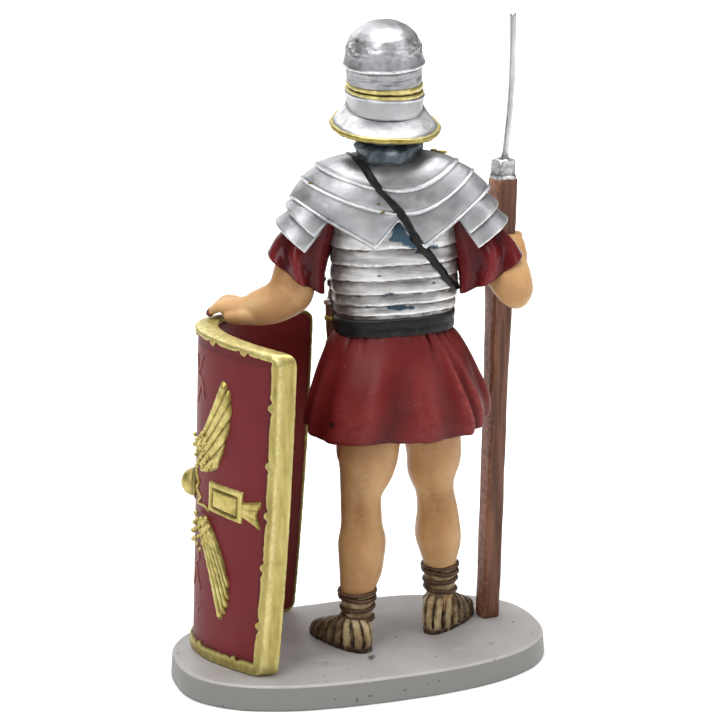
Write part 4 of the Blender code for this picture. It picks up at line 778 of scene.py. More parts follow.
def torsoPoint(degrees, height, out):
    cx, cy = torso["centre"]
    halfWidth = 10.8 + 0.9 * ease(height, 62.0, 74.0) - 0.5 * ease(height, 76.0, 90.0) + out
    halfDepth = 7.5 + 0.6 * ease(height, 64.0, 82.0) + out
    angle = math.radians(degrees)
    across = Vector((math.cos(torso["turn"]), math.sin(torso["turn"]), 0.0))
    along = Vector((-across.y, across.x, 0.0))
    point = Vector((cx, cy, height)) + across * halfWidth * power(math.cos(angle), 0.8)
    point += along * halfDepth * power(math.sin(angle), 0.8)
    point.z += torso["tilt"] * (point.x - cx) * (1.0 - 0.6 * ease(height, 72.0, 84.0))
    return point


# slate paint on the back, with painted shade in slate in the triangle under the last plate's notch: x,
# height, half width, half height, strength
slatePatchesAndNotchShade = [(-6.9, 83.6, 0.8, 0.9, 1.0), (-7.1, 82.4, 1.4, 0.9, 1.0), (-7.5, 81.1, 2.3, 0.8, 1.1),
               (-9.4, 80.1, 1.6, 0.6, 1.0), (-11.9, 79.3, 2.8, 0.45, 1.0), (-10.6, 78.2, 1.0, 0.4, 0.9),
               (-11.4, 76.4, 0.9, 0.5, 0.7), (-5.6, 70.6, 2.2, 0.35, 0.75), (-7.5, 67.9, 3.2, 0.7, 0.85),
               (-3.5, 73.8, 1.4, 0.3, 0.7), (-1.0, 68.0, 1.4, 0.3, 0.6), (1.2, 76.0, 1.5, 0.3, 0.55),
               (-13.6, 72.4, 1.0, 0.4, 0.6)]


def slateAndNotchShadeAt(point):
    return spotSum(slatePatchesAndNotchShade, point.x, point.z) if point.y >= 0.0 else 0.0


def makeHoops():
    rows = [(59.5, -0.6, 0.0), (torso["beltHigh"] - 0.3, 0.0, 0.4)]
    edges = torso["hoops"]
    for k, edge in enumerate(edges):
        above = edges[k + 1] if k + 1 < len(edges) else 84.0
        lip = torso["lip"]
        # painted shade in a dark line under each lip, painted highlight on its edge, and darker again towards
        # the next lip up
        rows += [(edge - 0.16, 0.02, 1.0), (edge - 0.06, 0.04, 1.0), (edge + 0.02, 0.6 * lip, 0.2),
                 (edge + 0.10, 0.95 * lip, -0.7), (edge + 0.24, lip, -0.8)]
        for t in (0.2, 0.4, 0.6, 0.8):
            out = mixed(lip, 0.05, t) + 0.10 * math.sin(math.pi * t)
            rows.append((mixed(edge + 0.24, above - 0.16, t), out, -0.05 + 0.4 * t ** 3))
    rows.append((85.0, -0.3, 0.0))
    rings, washAndShadeRows = [], []
    for height, out, value in rows:
        ring, shades = [], []
        for i in range(240):
            degrees = 1.5 * i
            base = torsoPoint(degrees, height, out)
            lift = 0.18 * wobble((base.x, base.y, round(height) * 3.0), 6.0)
            lift += 0.14 * wobble((base.x, base.y, height * 2.0), 1.1)
            ring.append(base + Vector((0.0, 0.0, lift)))
            # painted shade towards both sides of the body, and a brown wash low on the left
            sideShadeAndBrownWash = 0.35 * ease(base.x, 0.5, 4.0) + 0.3 * ease(-base.x, 14.0, 17.5)
            sideShadeAndBrownWash += 0.8 * ease(base.x, -2.5, 3.5) * ease(-height, -77.0, -69.0)
            gaps = wobble((0.4 * base.x, base.y, round(height) * 2.0), 1.2, 3.0)
            broken = 0.45 + 0.55 * ease(gaps, -0.2, 0.2)
            line = value * broken if value > 0.0 else value
            shades.append(min(max(line + sideShadeAndBrownWash * (0.55 + 0.45 * ease(value, -0.2, 0.4)), -1.0), 1.0))
        rings.append(ring)
        washAndShadeRows.append(shades)
    return loftPiece("girthHoops", rings, "hoopSilver", washAndShadeRows, rough=(0.10, 1.6),
                     stainAt=slateAndNotchShadeAt)


def makeBelt():
    low, high = torso["beltLow"], torso["beltHigh"]
    middle = 0.5 * (low + high)
    profile = [(low + 0.1, -0.6), (low, 0.1), (low + 0.15, 0.42), (low + 0.5, 0.52), (middle - 0.35, 0.50),
               (middle, 0.36), (middle + 0.35, 0.50), (high - 0.5, 0.52), (high - 0.15, 0.42), (high, 0.1),
               (high - 0.1, -0.6)]
    profile = [(height, out, 0.0 if 0 < k < 10 else 0.3) for k, (height, out) in enumerate(profile)]
    rings, washAndShadeRows = [], []
    for height, out, value in profile:
        ring = []
        for i in range(240):
            point = torsoPoint(1.5 * i, height, out)
            point.z += 0.10 * wobble((point.x, point.y, height * 0.2), 4.0)
            ring.append(point)
        rings.append(ring)
        # painted highlight on the two raised edges; the tucked-in ends are darker
        washAndShadeRows.append(-0.3 if height in (low + 0.15, high - 0.15) else value)
    # closes on itself, so the belt is one band
    loftPiece("belt", rings, "blackLeather", washAndShadeRows, closed=True, rough=(0.08, 2.0))


yoke = {
    "neck": Vector((-5.2, -2.2, 97.0)), "sides": 300, "thickness": 0.55,
    "collar": {"cx": -5.2, "width": 5.6, "depth": 5.6},
    "plates": [
        {"cx": -4.9, "width": 13.4, "depth": 8.2, "lowX": -7.5, "middle": 89.6, "left": 93.6, "right": 94.3},
        {"cx": -5.0, "width": 16.1, "depth": 8.7, "lowX": -8.5, "middle": 85.4, "left": 91.0, "right": 92.4},
    ],
    "last": {"cx": -5.5, "width": 18.7, "depth": 9.0},
    "tips": [(12.2, 87.4), (-2.8, 79.1), (-7.1, 84.6), (-12.0, 79.2), (-24.2, 89.2)],
}


def curvedEdge(plate, x):
    if x > plate["lowX"]:
        s = (x - plate["lowX"]) / (plate["cx"] + plate["width"] - plate["lowX"])
        return plate["middle"] + (plate["left"] - plate["middle"]) * min(s, 1.0) ** 1.7
    s = (plate["lowX"] - x) / (plate["lowX"] - plate["cx"] + plate["width"])
    return plate["middle"] + (plate["right"] - plate["middle"]) * min(s, 1.0) ** 1.9


def corneredEdge(x):
    tips = yoke["tips"]
    if x >= tips[0][0]:
        return tips[0][1]
    for (x0, z0), (x1, z1) in zip(tips, tips[1:]):
        if x >= x1:
            return z0 + (z1 - z0) * (x - x0) / (x1 - x0)
    return tips[-1][1]


def yokeRing(plate, edge, inward, lift):
    ring = []
    for i in range(yoke["sides"]):
        angle = 2.0 * math.pi * (i + 0.5) / yoke["sides"]
        x = plate["cx"] + (plate["width"] - inward) * power(math.cos(angle), 0.9)
        y = torso["centre"][1] + (plate["depth"] - inward) * power(math.sin(angle), 0.9)
        chest = max(torso["centre"][1] - 1.0 - y, 0.0)  # the plates hang lower over the chest
        ring.append(Vector((x, y, edge(x) + lift - 0.32 * chest)))
    return ring


def plateOut(point):
    # away from the neck and a little up
    return Vector((point.x - yoke["neck"].x, 1.6 * (point.y - yoke["neck"].y), 7.0)).normalized()


def tuckedUnder(top, low):
    # where the next plate starts, just beneath the rim of the one above
    return [b + (a - b) * 0.10 - plateOut(b) * 0.30 for a, b in zip(top, low)]


# painted shade on the plates, and painted highlights where the strength is below zero: x, height, half width,
# half height, strength
plateShadeAndHighlights = [(6.8, 84.2, 2.6, 1.3, 0.75), (3.0, 82.8, 2.2, 0.8, 0.35), (-17.5, 88.0, 2.5, 1.2, 0.25),
           (0.5, 94.2, 1.8, 0.8, 0.3), (9.0, 88.6, 3.0, 0.7, 0.3), (-1.0, 91.6, 4.0, 1.0, -0.4),
           (-10.5, 87.6, 3.5, 0.8, -0.3)]


def plateShadeAt(point):
    return spotSum(plateShadeAndHighlights, point.x, point.z) if point.y >= 0.0 else 0.0


# rings of one shoulder plate, from its hidden top over the outside, round the rim and under
def plateRings(top, low, shellBulge, dents):
    thick = yoke["thickness"]
    count = 34
    rings, washAndShadeRows = [], []
    for k in range(count + 1):
        t = k / count
        swell = shellBulge * math.sin(math.pi * t) + 0.24 * bump(t, 0.965, 0.035) - 0.10 * bump(t, 0.88, 0.04)
        ring = []
        for a, b in zip(top, low):
            flat = a + (b - a) * t
            ring.append(flat + plateOut(b) * (swell + dents * wobble(flat, 3.0, 2.0)))
        rings.append(ring)
        # painted shade where the plate tucks under the one above and in a line above its rim, painted
        # highlight on the rim
        value = -0.85 * bump(t, 0.99, 0.035) + 0.7 * bump(t, 0.08, 0.07) + 0.4 * bump(t, 0.89, 0.03)
        washAndShadeRows.append([value + plateShadeAt(point) for point in ring])
    # painted highlight where the rim curls under, then painted shade beneath
    for inward, drop, value in ((0.10, 0.22, -0.7), (0.34, 0.34, 0.3), (0.62, 0.30, 1.0), (1.1, 0.25, 1.0)):
        ring = []
        for b in low:
            flat = Vector((b.x - yoke["neck"].x, b.y - torso["centre"][1], 0.0)).normalized()
            ring.append(b - flat * inward * (thick / 0.55) + Vector((0, 0, -drop)))
        rings.append(ring)
        washAndShadeRows.append([value] * len(ring))
    return rings, washAndShadeRows


# smears of olive gold by the plate joints: x, height, half width, half height
goldDabs = [(12.0, 92.0, 1.6, 0.30), (9.0, 90.6, 0.8, 0.25), (-4.2, 85.9, 0.7, 0.6), (13.6, 85.6, 0.4, 0.3),
            (-3.4, 87.4, 0.5, 0.3), (9.9, 84.0, 0.5, 0.35)]


def oliveDabs(point):
    return spotSum([(*dab, 0.8) for dab in goldDabs], point.x, point.z) if point.y >= -2.0 else 0.0


def makeYoke():
    pieces = []
    collar = yokeRing(yoke["collar"], lambda x: 95.7 - 0.05 * x, 0.0, 0.0)
    for point in collar:  # the opening dips at the nape
        point.z -= 1.5 * ease(point.y, 0.5, 4.0)
    first, second = yoke["plates"]
    firstLow = yokeRing(first, lambda x: curvedEdge(first, x), 0.0, 0.0)
    secondTop = tuckedUnder(collar, firstLow)
    secondLow = yokeRing(second, lambda x: curvedEdge(second, x), 0.0, 0.0)
    lastTop = tuckedUnder(secondTop, secondLow)
    lastLow = yokeRing(yoke["last"], corneredEdge, 0.0, 0.0)
    for name, top, low, swell in (("collarPlate", collar, firstLow, 0.5),
                                  ("secondPlate", secondTop, secondLow, 0.15),
                                  ("lastPlate", lastTop, lastLow, 0.2)):
        rings, washAndShadeRows = plateRings(top, low, swell, 0.06)
        pieces.append(loftPiece(name, rings, "silver", washAndShadeRows, rough=(0.05, 2.0), stainAt=oliveDabs))
    return pieces


armPlates = [
    ("leftPlate4", (8.4, -1.5, 80.9), 7.2, 6.9, (4.9, 0.0, 4.4)),
    ("leftPlate5", (10.2, -1.5, 78.0), 7.1, 6.7, (4.9, 0.0, 4.1)),
    ("rightPlate4", (-20.2, -1.5, 81.6), 7.0, 6.9, (-5.0, 0.0, 4.1)),
    ("rightPlate5", (-21.9, -1.5, 78.9), 6.9, 6.7, (-5.0, 0.0, 3.8)),
]


def makeArmPlate(name, end, high, deep, way):
    up = Vector(way).normalized()
    downArm = Vector((abs(up.z) * math.copysign(1.0, up.x), 0.0, -abs(up.x)))
    # the last column: painted shade where the plate tucks in and beneath its rim, painted highlight along the
    # rim
    rows = [(-5.0, -1.0, 0.3), (-3.6, -0.5, 0.5), (-2.6, -0.15, 0.2), (-1.6, 0.1, 0.0), (-0.8, 0.25, -0.1),
            (-0.35, 0.36, -0.3), (-0.1, 0.36, -0.9), (0.03, 0.2, -0.8), (0.08, -0.1, 0.6), (0.0, -0.5, 1.0)]
    rings, washAndShadeRows = [], []
    for along, grow, value in rows:
        ring = []
        centre = Vector(end) + downArm * along
        for i in range(61):
            angle = math.pi * i / 60
            a = (high + grow) * power(math.sin(angle), 0.85)
            b = (deep + grow) * power(math.cos(angle), 0.85)
            ring.append(centre + up * (a + 0.12 * wobble((a, b, along), 3.0, 4.0)) + alongY * b)
        for i in range(1, 20):
            b = mixed(-(deep + grow), deep + grow, i / 20)
            ring.append(centre + alongY * b)
        rings.append(ring)
        washAndShadeRows.append(value)
    loftPiece(name, rings, "silver", washAndShadeRows, rough=(0.04, 1.6))


# Neck cloth, strap and weapons

# height, half width, half depth
scarfRows = [(92.0, 5.2, 5.6), (94.0, 5.5, 6.0), (95.6, 5.9, 6.1), (96.6, 6.2, 6.3), (97.3, 6.3, 6.3),
             (97.9, 5.8, 5.8), (98.2, 5.3, 5.4), (98.8, 5.7, 5.7), (99.5, 5.7, 5.7),
             (100.3, 5.0, 5.0), (101.0, 4.2, 4.3)]


def makeScarf():
    rings, washAndShadeRows = [], []
    neck = yoke["neck"]
    for height, halfWidth, halfDepth in smoothRows(scarfRows, 5):
        ring, shades = [], []
        for i in range(160):
            angle = 2.0 * math.pi * i / 160
            out = 0.22 * math.sin(5.0 * angle + 0.9 * height) + 0.12 * math.sin(13.0 * angle - 1.3 * height)
            x = neck.x + (halfWidth + out) * math.cos(angle)
            y = neck.y + 0.2 + (halfDepth + out) * math.sin(angle)
            ring.append(Vector((x, y, height - 0.1 * (y - neck.y))))
            # painted highlights on the fold crests, painted shade in the hollows and in the groove round the
            # middle
            shades.append(-0.6 * bump(height, 97.2, 0.5) * ease(out, 0.0, 0.3) - 0.5 * bump(height, 99.3, 0.4)
                          * ease(out, 0.05, 0.3) + 0.9 * bump(height, 98.2, 0.35) - 0.48 * out)
        rings.append(ring)
        washAndShadeRows.append(shades)
    loftPiece("neckCloth", rings, "slateCloth", washAndShadeRows, rough=(0.08, 1.0))


baldric = {
    # x and height of the strap's middle, over the back and over the chest
    "back": [(2.8, 96.6), (-0.4, 94.3), (-3.7, 89.8), (-7.3, 86.0), (-10.1, 81.4), (-14.8, 74.8),
             (-17.6, 70.4)],
    "front": [(-18.6, 68.6), (-15.5, 71.8), (-10.0, 77.6), (-4.5, 83.4), (0.5, 89.6), (3.4, 95.6)],
    "width": 1.35, "rise": 0.5,
}


def surfaceTree(pieces):
    back = figurePlace.inverted()
    verts, faces = [], []
    for piece in pieces:
        start = len(verts)
        verts += [back @ vert.co for vert in piece.data.vertices]
        faces += [[start + i for i in face.vertices] for face in piece.data.polygons]
    return BVHTree.FromPolygons(verts, faces)


def makeBaldric(pieces):
    tree = surfaceTree(pieces)
    anchors = []
    for row, way in ((baldric["back"], 1.0), (baldric["front"], -1.0)):
        for x, z in smoothRows(row, 6):
            hit = tree.ray_cast(Vector((x, torso["centre"][1] + 40.0 * way, z)), Vector((0.0, -way, 0.0)))[0]
            if hit:
                anchors.append(hit)
    soft = []
    count = len(anchors)
    for k in range(count):
        soft.append(sum((anchors[(k + j) % count] for j in (-2, -1, 0, 1, 2)), Vector()) / 5.0)
    sections, washAndShadeRows = [], []
    for k, place in enumerate(soft):
        near, normal, _, _ = tree.find_nearest(place)
        ahead = (soft[(k + 1) % count] - soft[k - 1]).normalized()
        outward = (place - Vector((*torso["centre"], place.z))).normalized()
        normal = (normal * (1.0 if normal.dot(outward) > 0 else -1.0) + outward).normalized()
        normal = (normal - ahead * normal.dot(ahead)).normalized()
        side = ahead.cross(normal)
        out = max((near - place).dot(normal), 0.0)
        half = 0.5 * baldric["width"] * (1.0 + 0.35 * wobble(place, 3.5))
        top = place + normal * (out + baldric["rise"])
        low = place - normal * 0.9
        sections.append([low - side * half, low + side * half, top + side * half - normal * 0.15,
                         top + side * half * 0.75, top + normal * 0.06, top - side * half * 0.75,
                         top - side * half - normal * 0.15])
        # painted highlight on the strap's top edges
        washAndShadeRows.append([0.0, 0.0, -0.2, 0.0, 0.0, 0.0, -0.3])
    loftPiece("baldric", sections, "blackLeather", washAndShadeRows, closed=True, rough=(0.05, 1.5))


# centre, half width, half height, wire radius
buckleRings = [((-15.1, -2.2, 95.6), 0.85, 0.6, 0.24), ((-13.7, -2.4, 95.9), 0.45, 0.4, 0.22)]


def makeBuckle():
    shapes = []
    for centre, wide, high, tube in buckleRings:
        rings = []
        for i in range(36):
            way = unitTurn(10.0 * i)
            middle = Vector(centre) + Vector((way.x * wide, way.y * high, 0.18 * way.y))
            rings.append([middle + (way * math.cos(0.6 * j) + Vector((0, 0, math.sin(0.6 * j)))) * tube
                          for j in range(10)])
        shapes.append(loftShape(rings, closed=True))
    joinedPiece("shoulderBuckle", shapes, "gold")


hilts = {
    "dagger": {"hip": (5.3, -5.0), "turn": 60.0,
               "shape": [(71.3, 0.5, 0.5), (71.2, 0.9, 0.9), (70.7, 1.7, 1.1), (69.8, 1.6, 1.0),
                         (69.4, 0.9, 0.8), (68.4, 1.1, 0.9), (67.4, 1.1, 0.9), (67.0, 2.1, 1.2),
                         (66.3, 2.1, 1.2), (66.0, 1.6, 1.0), (60.3, 1.7, 1.0), (56.3, 1.1, 0.9),
                         (55.2, 0.8, 0.7), (54.8, 0.5, 0.5)],
               "split": 66.1, "bands": [(63.5, 1.75, 1.1), (58.5, 1.75, 1.1)]},
    "sword": {"hip": (-14.7, -10.2), "turn": -20.0,
              "shape": [(77.1, 0.4, 0.4), (76.9, 1.0, 0.9), (76.2, 1.5, 1.4), (75.3, 1.5, 1.4),
                        (74.6, 0.8, 0.8), (73.0, 1.0, 0.95), (71.4, 0.9, 0.9), (71.0, 2.1, 1.5),
                        (69.8, 2.1, 1.5), (69.4, 1.6, 1.0), (48.6, 1.5, 1.0), (46.2, 0.9, 0.8),
                        (45.4, 0.7, 0.7), (44.8, 0.8, 0.8), (44.2, 0.4, 0.4)],
              "split": 69.6, "bands": [(66.5, 1.75, 1.1), (61.0, 1.75, 1.1), (47.5, 1.35, 1.05)]},
}


# the middle of a weapon at a height; both lean as they go down
def weaponPlace(name, values, height):
    hipX, hipY = values["hip"]
    down = 66.0 - height
    if name == "dagger":
        return Vector((hipX - 0.04 * abs(down) - 0.06 * max(-down, 0.0), hipY - 0.04 * down, height))
    return Vector((hipX - 0.04 * max(down, 0.0), hipY - 0.2 * max(down, 0.0), height))


def makeWeapon(name, values):
    across = unitTurn(values["turn"])
    along = alongZ.cross(across)
    parts = {"Hilt": [], "Scabbard": []}
    for height, halfWidth, halfDepth in smoothRows(values["shape"], 4):
        half = (max(halfWidth, 0.2), max(halfDepth, 0.2))
        ring = oval(weaponPlace(name, values, height), across, along, *half, 40, 3.0)
        parts["Hilt" if height > values["split"] else "Scabbard"].append(ring)
        if abs(height - values["split"]) < 0.35 and height <= values["split"]:
            parts["Hilt"].append(ring)
    for part, rings in parts.items():
        finish = "ferrule" if part == "Hilt" else "scabbardBrown"
        loftPiece(name + part, rings, finish, rough=(0.05, 0.8))
    bands = []
    for height, wide, deep in values["bands"]:
        middle = weaponPlace(name, values, height)
        rows = [(-0.5, -0.3), (-0.45, 0.1), (0.0, 0.18), (0.45, 0.1), (0.5, -0.3)]
        bands.append(loftShape([oval(middle + Vector((0, 0, rise)), across, along, wide + grow, deep + grow,
                                     40, 3.0) for rise, grow in rows]))
    joinedPiece(name + "Bands", bands, "gold")


# Head and helmet

helmet = {
    "place": Vector((-4.5, -2.6, 108.0)), "tilt": math.radians(-7.0), "roll": math.radians(1.2),
    "bowl": [  # height over the gold rings, half width, half depth, darkness: painted shade in the grooves, under the ridge and in a grey band above it, painted highlights on the ridge and over the crown
        (-4.9, 6.75, 7.7, 0.9), (-4.6, 7.0, 7.95, -0.2), (-3.0, 7.1, 8.05, 0.0), (-1.6, 7.25, 8.2, 0.1),
        (-1.2, 7.45, 8.35, -0.7), (-0.95, 7.3, 8.2, 0.3), (-0.1, 6.6, 7.55, 1.0), (0.6, 6.7, 7.7, 0.8),
        (1.0, 6.95, 7.95, 0.25), (2.2, 6.95, 8.0, 0.3), (3.3, 7.05, 8.15, 0.15), (3.8, 7.15, 8.25, 0.8),
        (3.95, 7.4, 8.5, -0.3), (4.1, 7.62, 8.7, -0.95), (4.35, 7.62, 8.7, -0.8), (4.6, 7.42, 8.5, 0.35),
        (5.2, 7.3, 8.4, 0.32), (6.0, 7.15, 8.3, 0.22), (6.9, 7.0, 8.15, 0.05), (7.6, 6.85, 8.0, -0.05),
        (8.4, 6.5, 7.7, -0.15),
        (9.6, 5.85, 7.0, -0.2), (10.6, 4.8, 5.9, -0.2), (11.4, 3.4, 4.2, -0.1), (11.85, 1.9, 2.3, 0.0),
        (11.98, 0.6, 0.7, 0.0),
    ],
}


def onHelmet(x, y, z):
    # the lower parts sit askew: the left a little up, the right a little down
    low = ease(-z, -2.0, 0.6)
    z += low * (0.055 * max(x, 0.0) - 0.115 * max(-x - 1.0, 0.0))
    turned = (Matrix.Rotation(helmet["roll"], 3, "Y") @ Matrix.Rotation(helmet["tilt"], 3, "X")
              @ Vector((x, y, z)))
    return helmet["place"] + turned


def helmetRing(height, halfWidth, halfDepth, sides=260):
    ring = []
    for i in range(sides):
        angle = 2.0 * math.pi * i / sides
        y = halfDepth * math.sin(angle)
        front = ease(-y, 1.0, 5.0) * ease(-height, -1.5, 2.5)
        x = halfWidth * math.cos(angle)
        scuff = bump(height, 7.6, 1.6) * (0.25 + 0.75 * abs(math.cos(angle)) ** 2)
        grow = 1.0 + scuff * (0.052 * wobble((x * 1.2, y * 1.2, height * 3.0), 2.0, 3.0)
                              + 0.022 * wobble((x, y, height * 2.0), 0.6, 9.0))
        ring.append(onHelmet(x * (1.0 - 0.12 * front) * grow, y * (1.0 - 0.3 * front) * grow,
                             height + 0.18 * scuff * wobble((x, y, height), 1.4, 8.0)))
    return ring


def makeBowl():
    rows = []
    for a, b in zip(helmet["bowl"], helmet["bowl"][1:]):
        steps = 7 if b[0] - a[0] > 0.8 else 2
        for i in range(steps):
            rows.append([mixed(p, q, i / steps) for p, q in zip(a, b)])
    rows.append(list(helmet["bowl"][-1]))
    rings, washAndShadeRows = [], []
    for height, halfWidth, halfDepth, value in rows:
        ring = helmetRing(height, halfWidth, halfDepth)
        shades = []
        for i in range(len(ring)):
            angle = 2.0 * math.pi * i / len(ring)
            pit = bump(height, 7.8, 1.4) * (0.15 + abs(math.cos(angle)) ** 1.5)
            mark = wobble((6.0 * math.cos(angle), 6.0 * math.sin(angle), height * 3.2), 1.1, 5.0)
            smear = wobble((2.0 * angle, height * 4.0, 1.0), 1.0)
            streak = 0.6 * bump(height, 2.2, 0.9) * ease(smear, 0.05, 0.4)
            hole = 1.2 * bump(height, 9.3, 0.35) * bump(angle, 0.62, 0.09)
            shade = value + pit * (0.55 * ease(mark, 0.12, 0.4) - 0.8 * ease(-mark, 0.1, 0.4))
            shades.append(min(max(shade + streak + hole, -1.0), 1.0))
        rings.append(ring)
        washAndShadeRows.append(shades)
    loftPiece("helmetBowl", rings, "silver", washAndShadeRows, rough=(0.07, 1.6))
    shapes = []
    for height, tube, radius in ((-0.62, 0.40, 6.86), (0.40, 0.50, 6.68)):
        rings, washAndShadeRows = [], []
        for k in range(12):
            turn = 2.0 * math.pi * k / 12
            out = tube * math.cos(turn)
            rings.append(helmetRing(height + tube * math.sin(turn), radius + out, radius + 1.05 + out, 160))
            # painted shade under each ring and a dark line along its top, painted highlight on its outer face
            washAndShadeRows.append(0.7 * bump(math.sin(turn), -0.9, 0.5) + 0.5 * bump(math.sin(turn), 1.0, 0.3)
                          - 0.7 * bump(math.cos(turn), 1.0, 0.3))
        shapes.append(loftShape(rings, washAndShadeRows, closed=True))
    joinedPiece("helmetGoldRings", shapes, "gold", rough=(0.10, 1.1))


# the guard runs round the back from one ear to the other; its rim is widest and lowest at the nape
guard = {"from": -12.0, "sweep": 204.0, "root": 6.4, "sideReach": 3.3, "napeReach": 2.5,
         "drop": -7.5, "sideLift": 1.5}


def guardSection(degrees):
    way = unitTurn(degrees)
    t = (degrees - guard["from"]) / guard["sweep"]
    fade = min(t, 1.0 - t) * 8.0
    spread = min(1.0, 0.5 + 0.5 * fade)
    root = guard["root"]
    edge = root + (guard["sideReach"] + guard["napeReach"] * way.y) * spread
    aside = 1.0 - max(way.y, 0.0)
    drop = guard["drop"] + 0.5 * (1.0 - spread) + guard["sideLift"] * aside ** 1.8
    return way, root, edge, drop


def makeNeckGuard():
    steps = 120
    rings, rimRings, washAndShadeRows, rimShading = [], [], [], []
    for i in range(steps + 1):
        way, root, edge, drop = guardSection(guard["from"] + guard["sweep"] * i / steps)

        def at(r, z):
            return onHelmet(r * way.x * 0.99, r * way.y, z)

        rise = 1.7 * (1.0 - max(way.y, 0.0)) ** 1.5
        profile = [(root, rise - 3.2, 0.6), (root + 0.62, rise - 4.35, 0.8), (root + 0.75, rise - 4.75, 0.3)]
        for t in (0.2, 0.4, 0.6, 0.8, 1.0):
            sag = 0.05 * math.sin(math.pi * t)
            # the guard is painted lighter, a painted highlight, with painted shade near its top just left of
            # the middle and down its right side
            value = bump(t, 0.2, 0.35) * bump(way.x, 0.28, 0.22) + 0.5 * bump(t, 1.0, 0.1) - 0.6
            value += 0.5 * bump(way.x, -0.55, 0.25) * (1.0 - t)
            height = mixed(rise - 4.75, drop + 0.7, t) - sag
            profile.append((mixed(root + 0.75, edge - 0.2, t), height, value))
        profile += [(edge - 0.1, drop + 0.1, 0.8), (edge - 0.6, drop - 0.3, 1.0), (root + 0.4, -6.2, 0.9)]
        rings.append([at(r, z) for r, z, _ in profile])
        washAndShadeRows.append([value for _, _, value in profile])
        rim, shades = [], []
        for k in range(20):
            turn = 2.0 * math.pi * k / 20
            up = math.sin(turn)
            reach = 1.0 + 0.16 * bump(up, 0.75, 0.2) + 0.10 * bump(up, -0.1, 0.25)
            rim.append(at(edge - 0.05 + 0.46 * reach * math.cos(turn), drop + 0.12 + 0.55 * reach * up))
            # painted shade under the rim and in a line along it, painted highlight on its top
            shades.append(0.8 * bump(up, -1.0, 0.6) - 0.75 * bump(up, 0.8, 0.2) + 0.55 * bump(up, 0.35, 0.16))
        rimRings.append(rim)
        rimShading.append(shades)
    loftPiece("neckGuard", rings, "silver", washAndShadeRows, rough=(0.06, 1.8))
    sides = []
    # thin gold lines up both ends of the guard
    for degrees in (guard["from"], guard["from"] + guard["sweep"]):
        way, root, edge, drop = guardSection(degrees)
        stations = []
        for t in (0.0, 0.25, 0.5, 0.75, 1.0):
            r, z = mixed(root + 0.6, edge, t), mixed(-2.9, drop + 0.3, t)
            stations.append((tuple(onHelmet(r * way.x * 0.99, r * way.y, z)), 0.26, 0.26))
        sides.append(tubeShape(stations, 12, 4, alongY))
    joinedPiece("neckGuardRim", [loftShape(rimRings, rimShading)] + sides, "gold", rough=(0.12, 1.0))


def makeBrowGuard():
    rings = []
    for i in range(61):
        way = unitTurn(-150.0 + 120.0 * i / 60)
        profile = [(7.2, 3.7), (8.0, 3.6), (9.0, 3.3), (9.3, 3.05), (9.35, 2.75), (9.1, 2.45), (7.2, 2.3)]
        rings.append([onHelmet(r * way.x * 0.88, r * way.y, z) for r, z in profile])
    loftPiece("browGuard", rings, "gold", rough=(0.08, 1.0))


cheekPlate = {
    # forward of the helmet's middle and height over its gold rings
    "outline": [(3.4, 0.4), (3.0, -1.8), (3.0, -4.2), (3.9, -6.2), (5.2, -7.6), (6.5, -8.4), (7.6, -8.6),
                (8.2, -7.8), (8.2, -6.6), (7.3, -5.3), (6.9, -4.0), (7.4, -2.8), (7.6, -1.6), (7.4, -0.4),
                (6.8, 0.4)],
    # rise off the cheek, share of the outline, darkness: painted shade under and inside the rim, painted
    # highlight on the rim
    "layers": [(-0.9, 1.0, 0.5), (0.3, 1.0, 0.3), (0.55, 0.985, -0.6), (0.62, 0.95, -0.3),
               (0.5, 0.9, 0.8), (0.55, 0.86, 0.0), (0.75, 0.6, 0.0), (0.8, 0.3, 0.0)],
}


def makeCheekPlates():
    for side in (1.0, -1.0):
        rings, washAndShadeRows = [], []
        for rise, shrink, value in cheekPlate["layers"]:
            ring = []
            for forward, z in smoothRows(cheekPlate["outline"], 4):
                hug = 6.9 - 0.045 * forward ** 2 + 0.09 * min(z, 0.0) + rise
                ring.append(onHelmet(side * hug, -5.8 + (5.8 - forward) * shrink, -4.0 + (z + 4.0) * shrink))
            rings.append(ring)
            washAndShadeRows.append(value)
        name = "leftCheekPlate" if side > 0 else "rightCheekPlate"
        loftPiece(name, rings, "silver", washAndShadeRows, rough=(0.05, 1.0))


head = {
    "place": Vector((-4.6, -3.1, 110.0)),
    "levels": [  # height over the eyes, half width, half depth, centre y
        (-12.0, 4.2, 4.4, 1.0), (-9.0, 3.7, 4.3, 0.9), (-7.8, 3.7, 4.8, 0.4), (-7.0, 3.9, 6.0, -0.2),
        (-6.2, 4.3, 6.5, -0.3), (-5.3, 4.8, 6.6, -0.2), (-4.5, 5.0, 6.7, -0.1), (-3.8, 5.2, 6.8, 0.0),
        (-2.6, 5.4, 6.9, 0.0), (-1.2, 5.6, 7.0, 0.0), (0.4, 5.7, 7.0, 0.0), (1.6, 5.8, 7.2, 0.0),
        (4.0, 5.6, 6.8, 0.0),
    ],
}


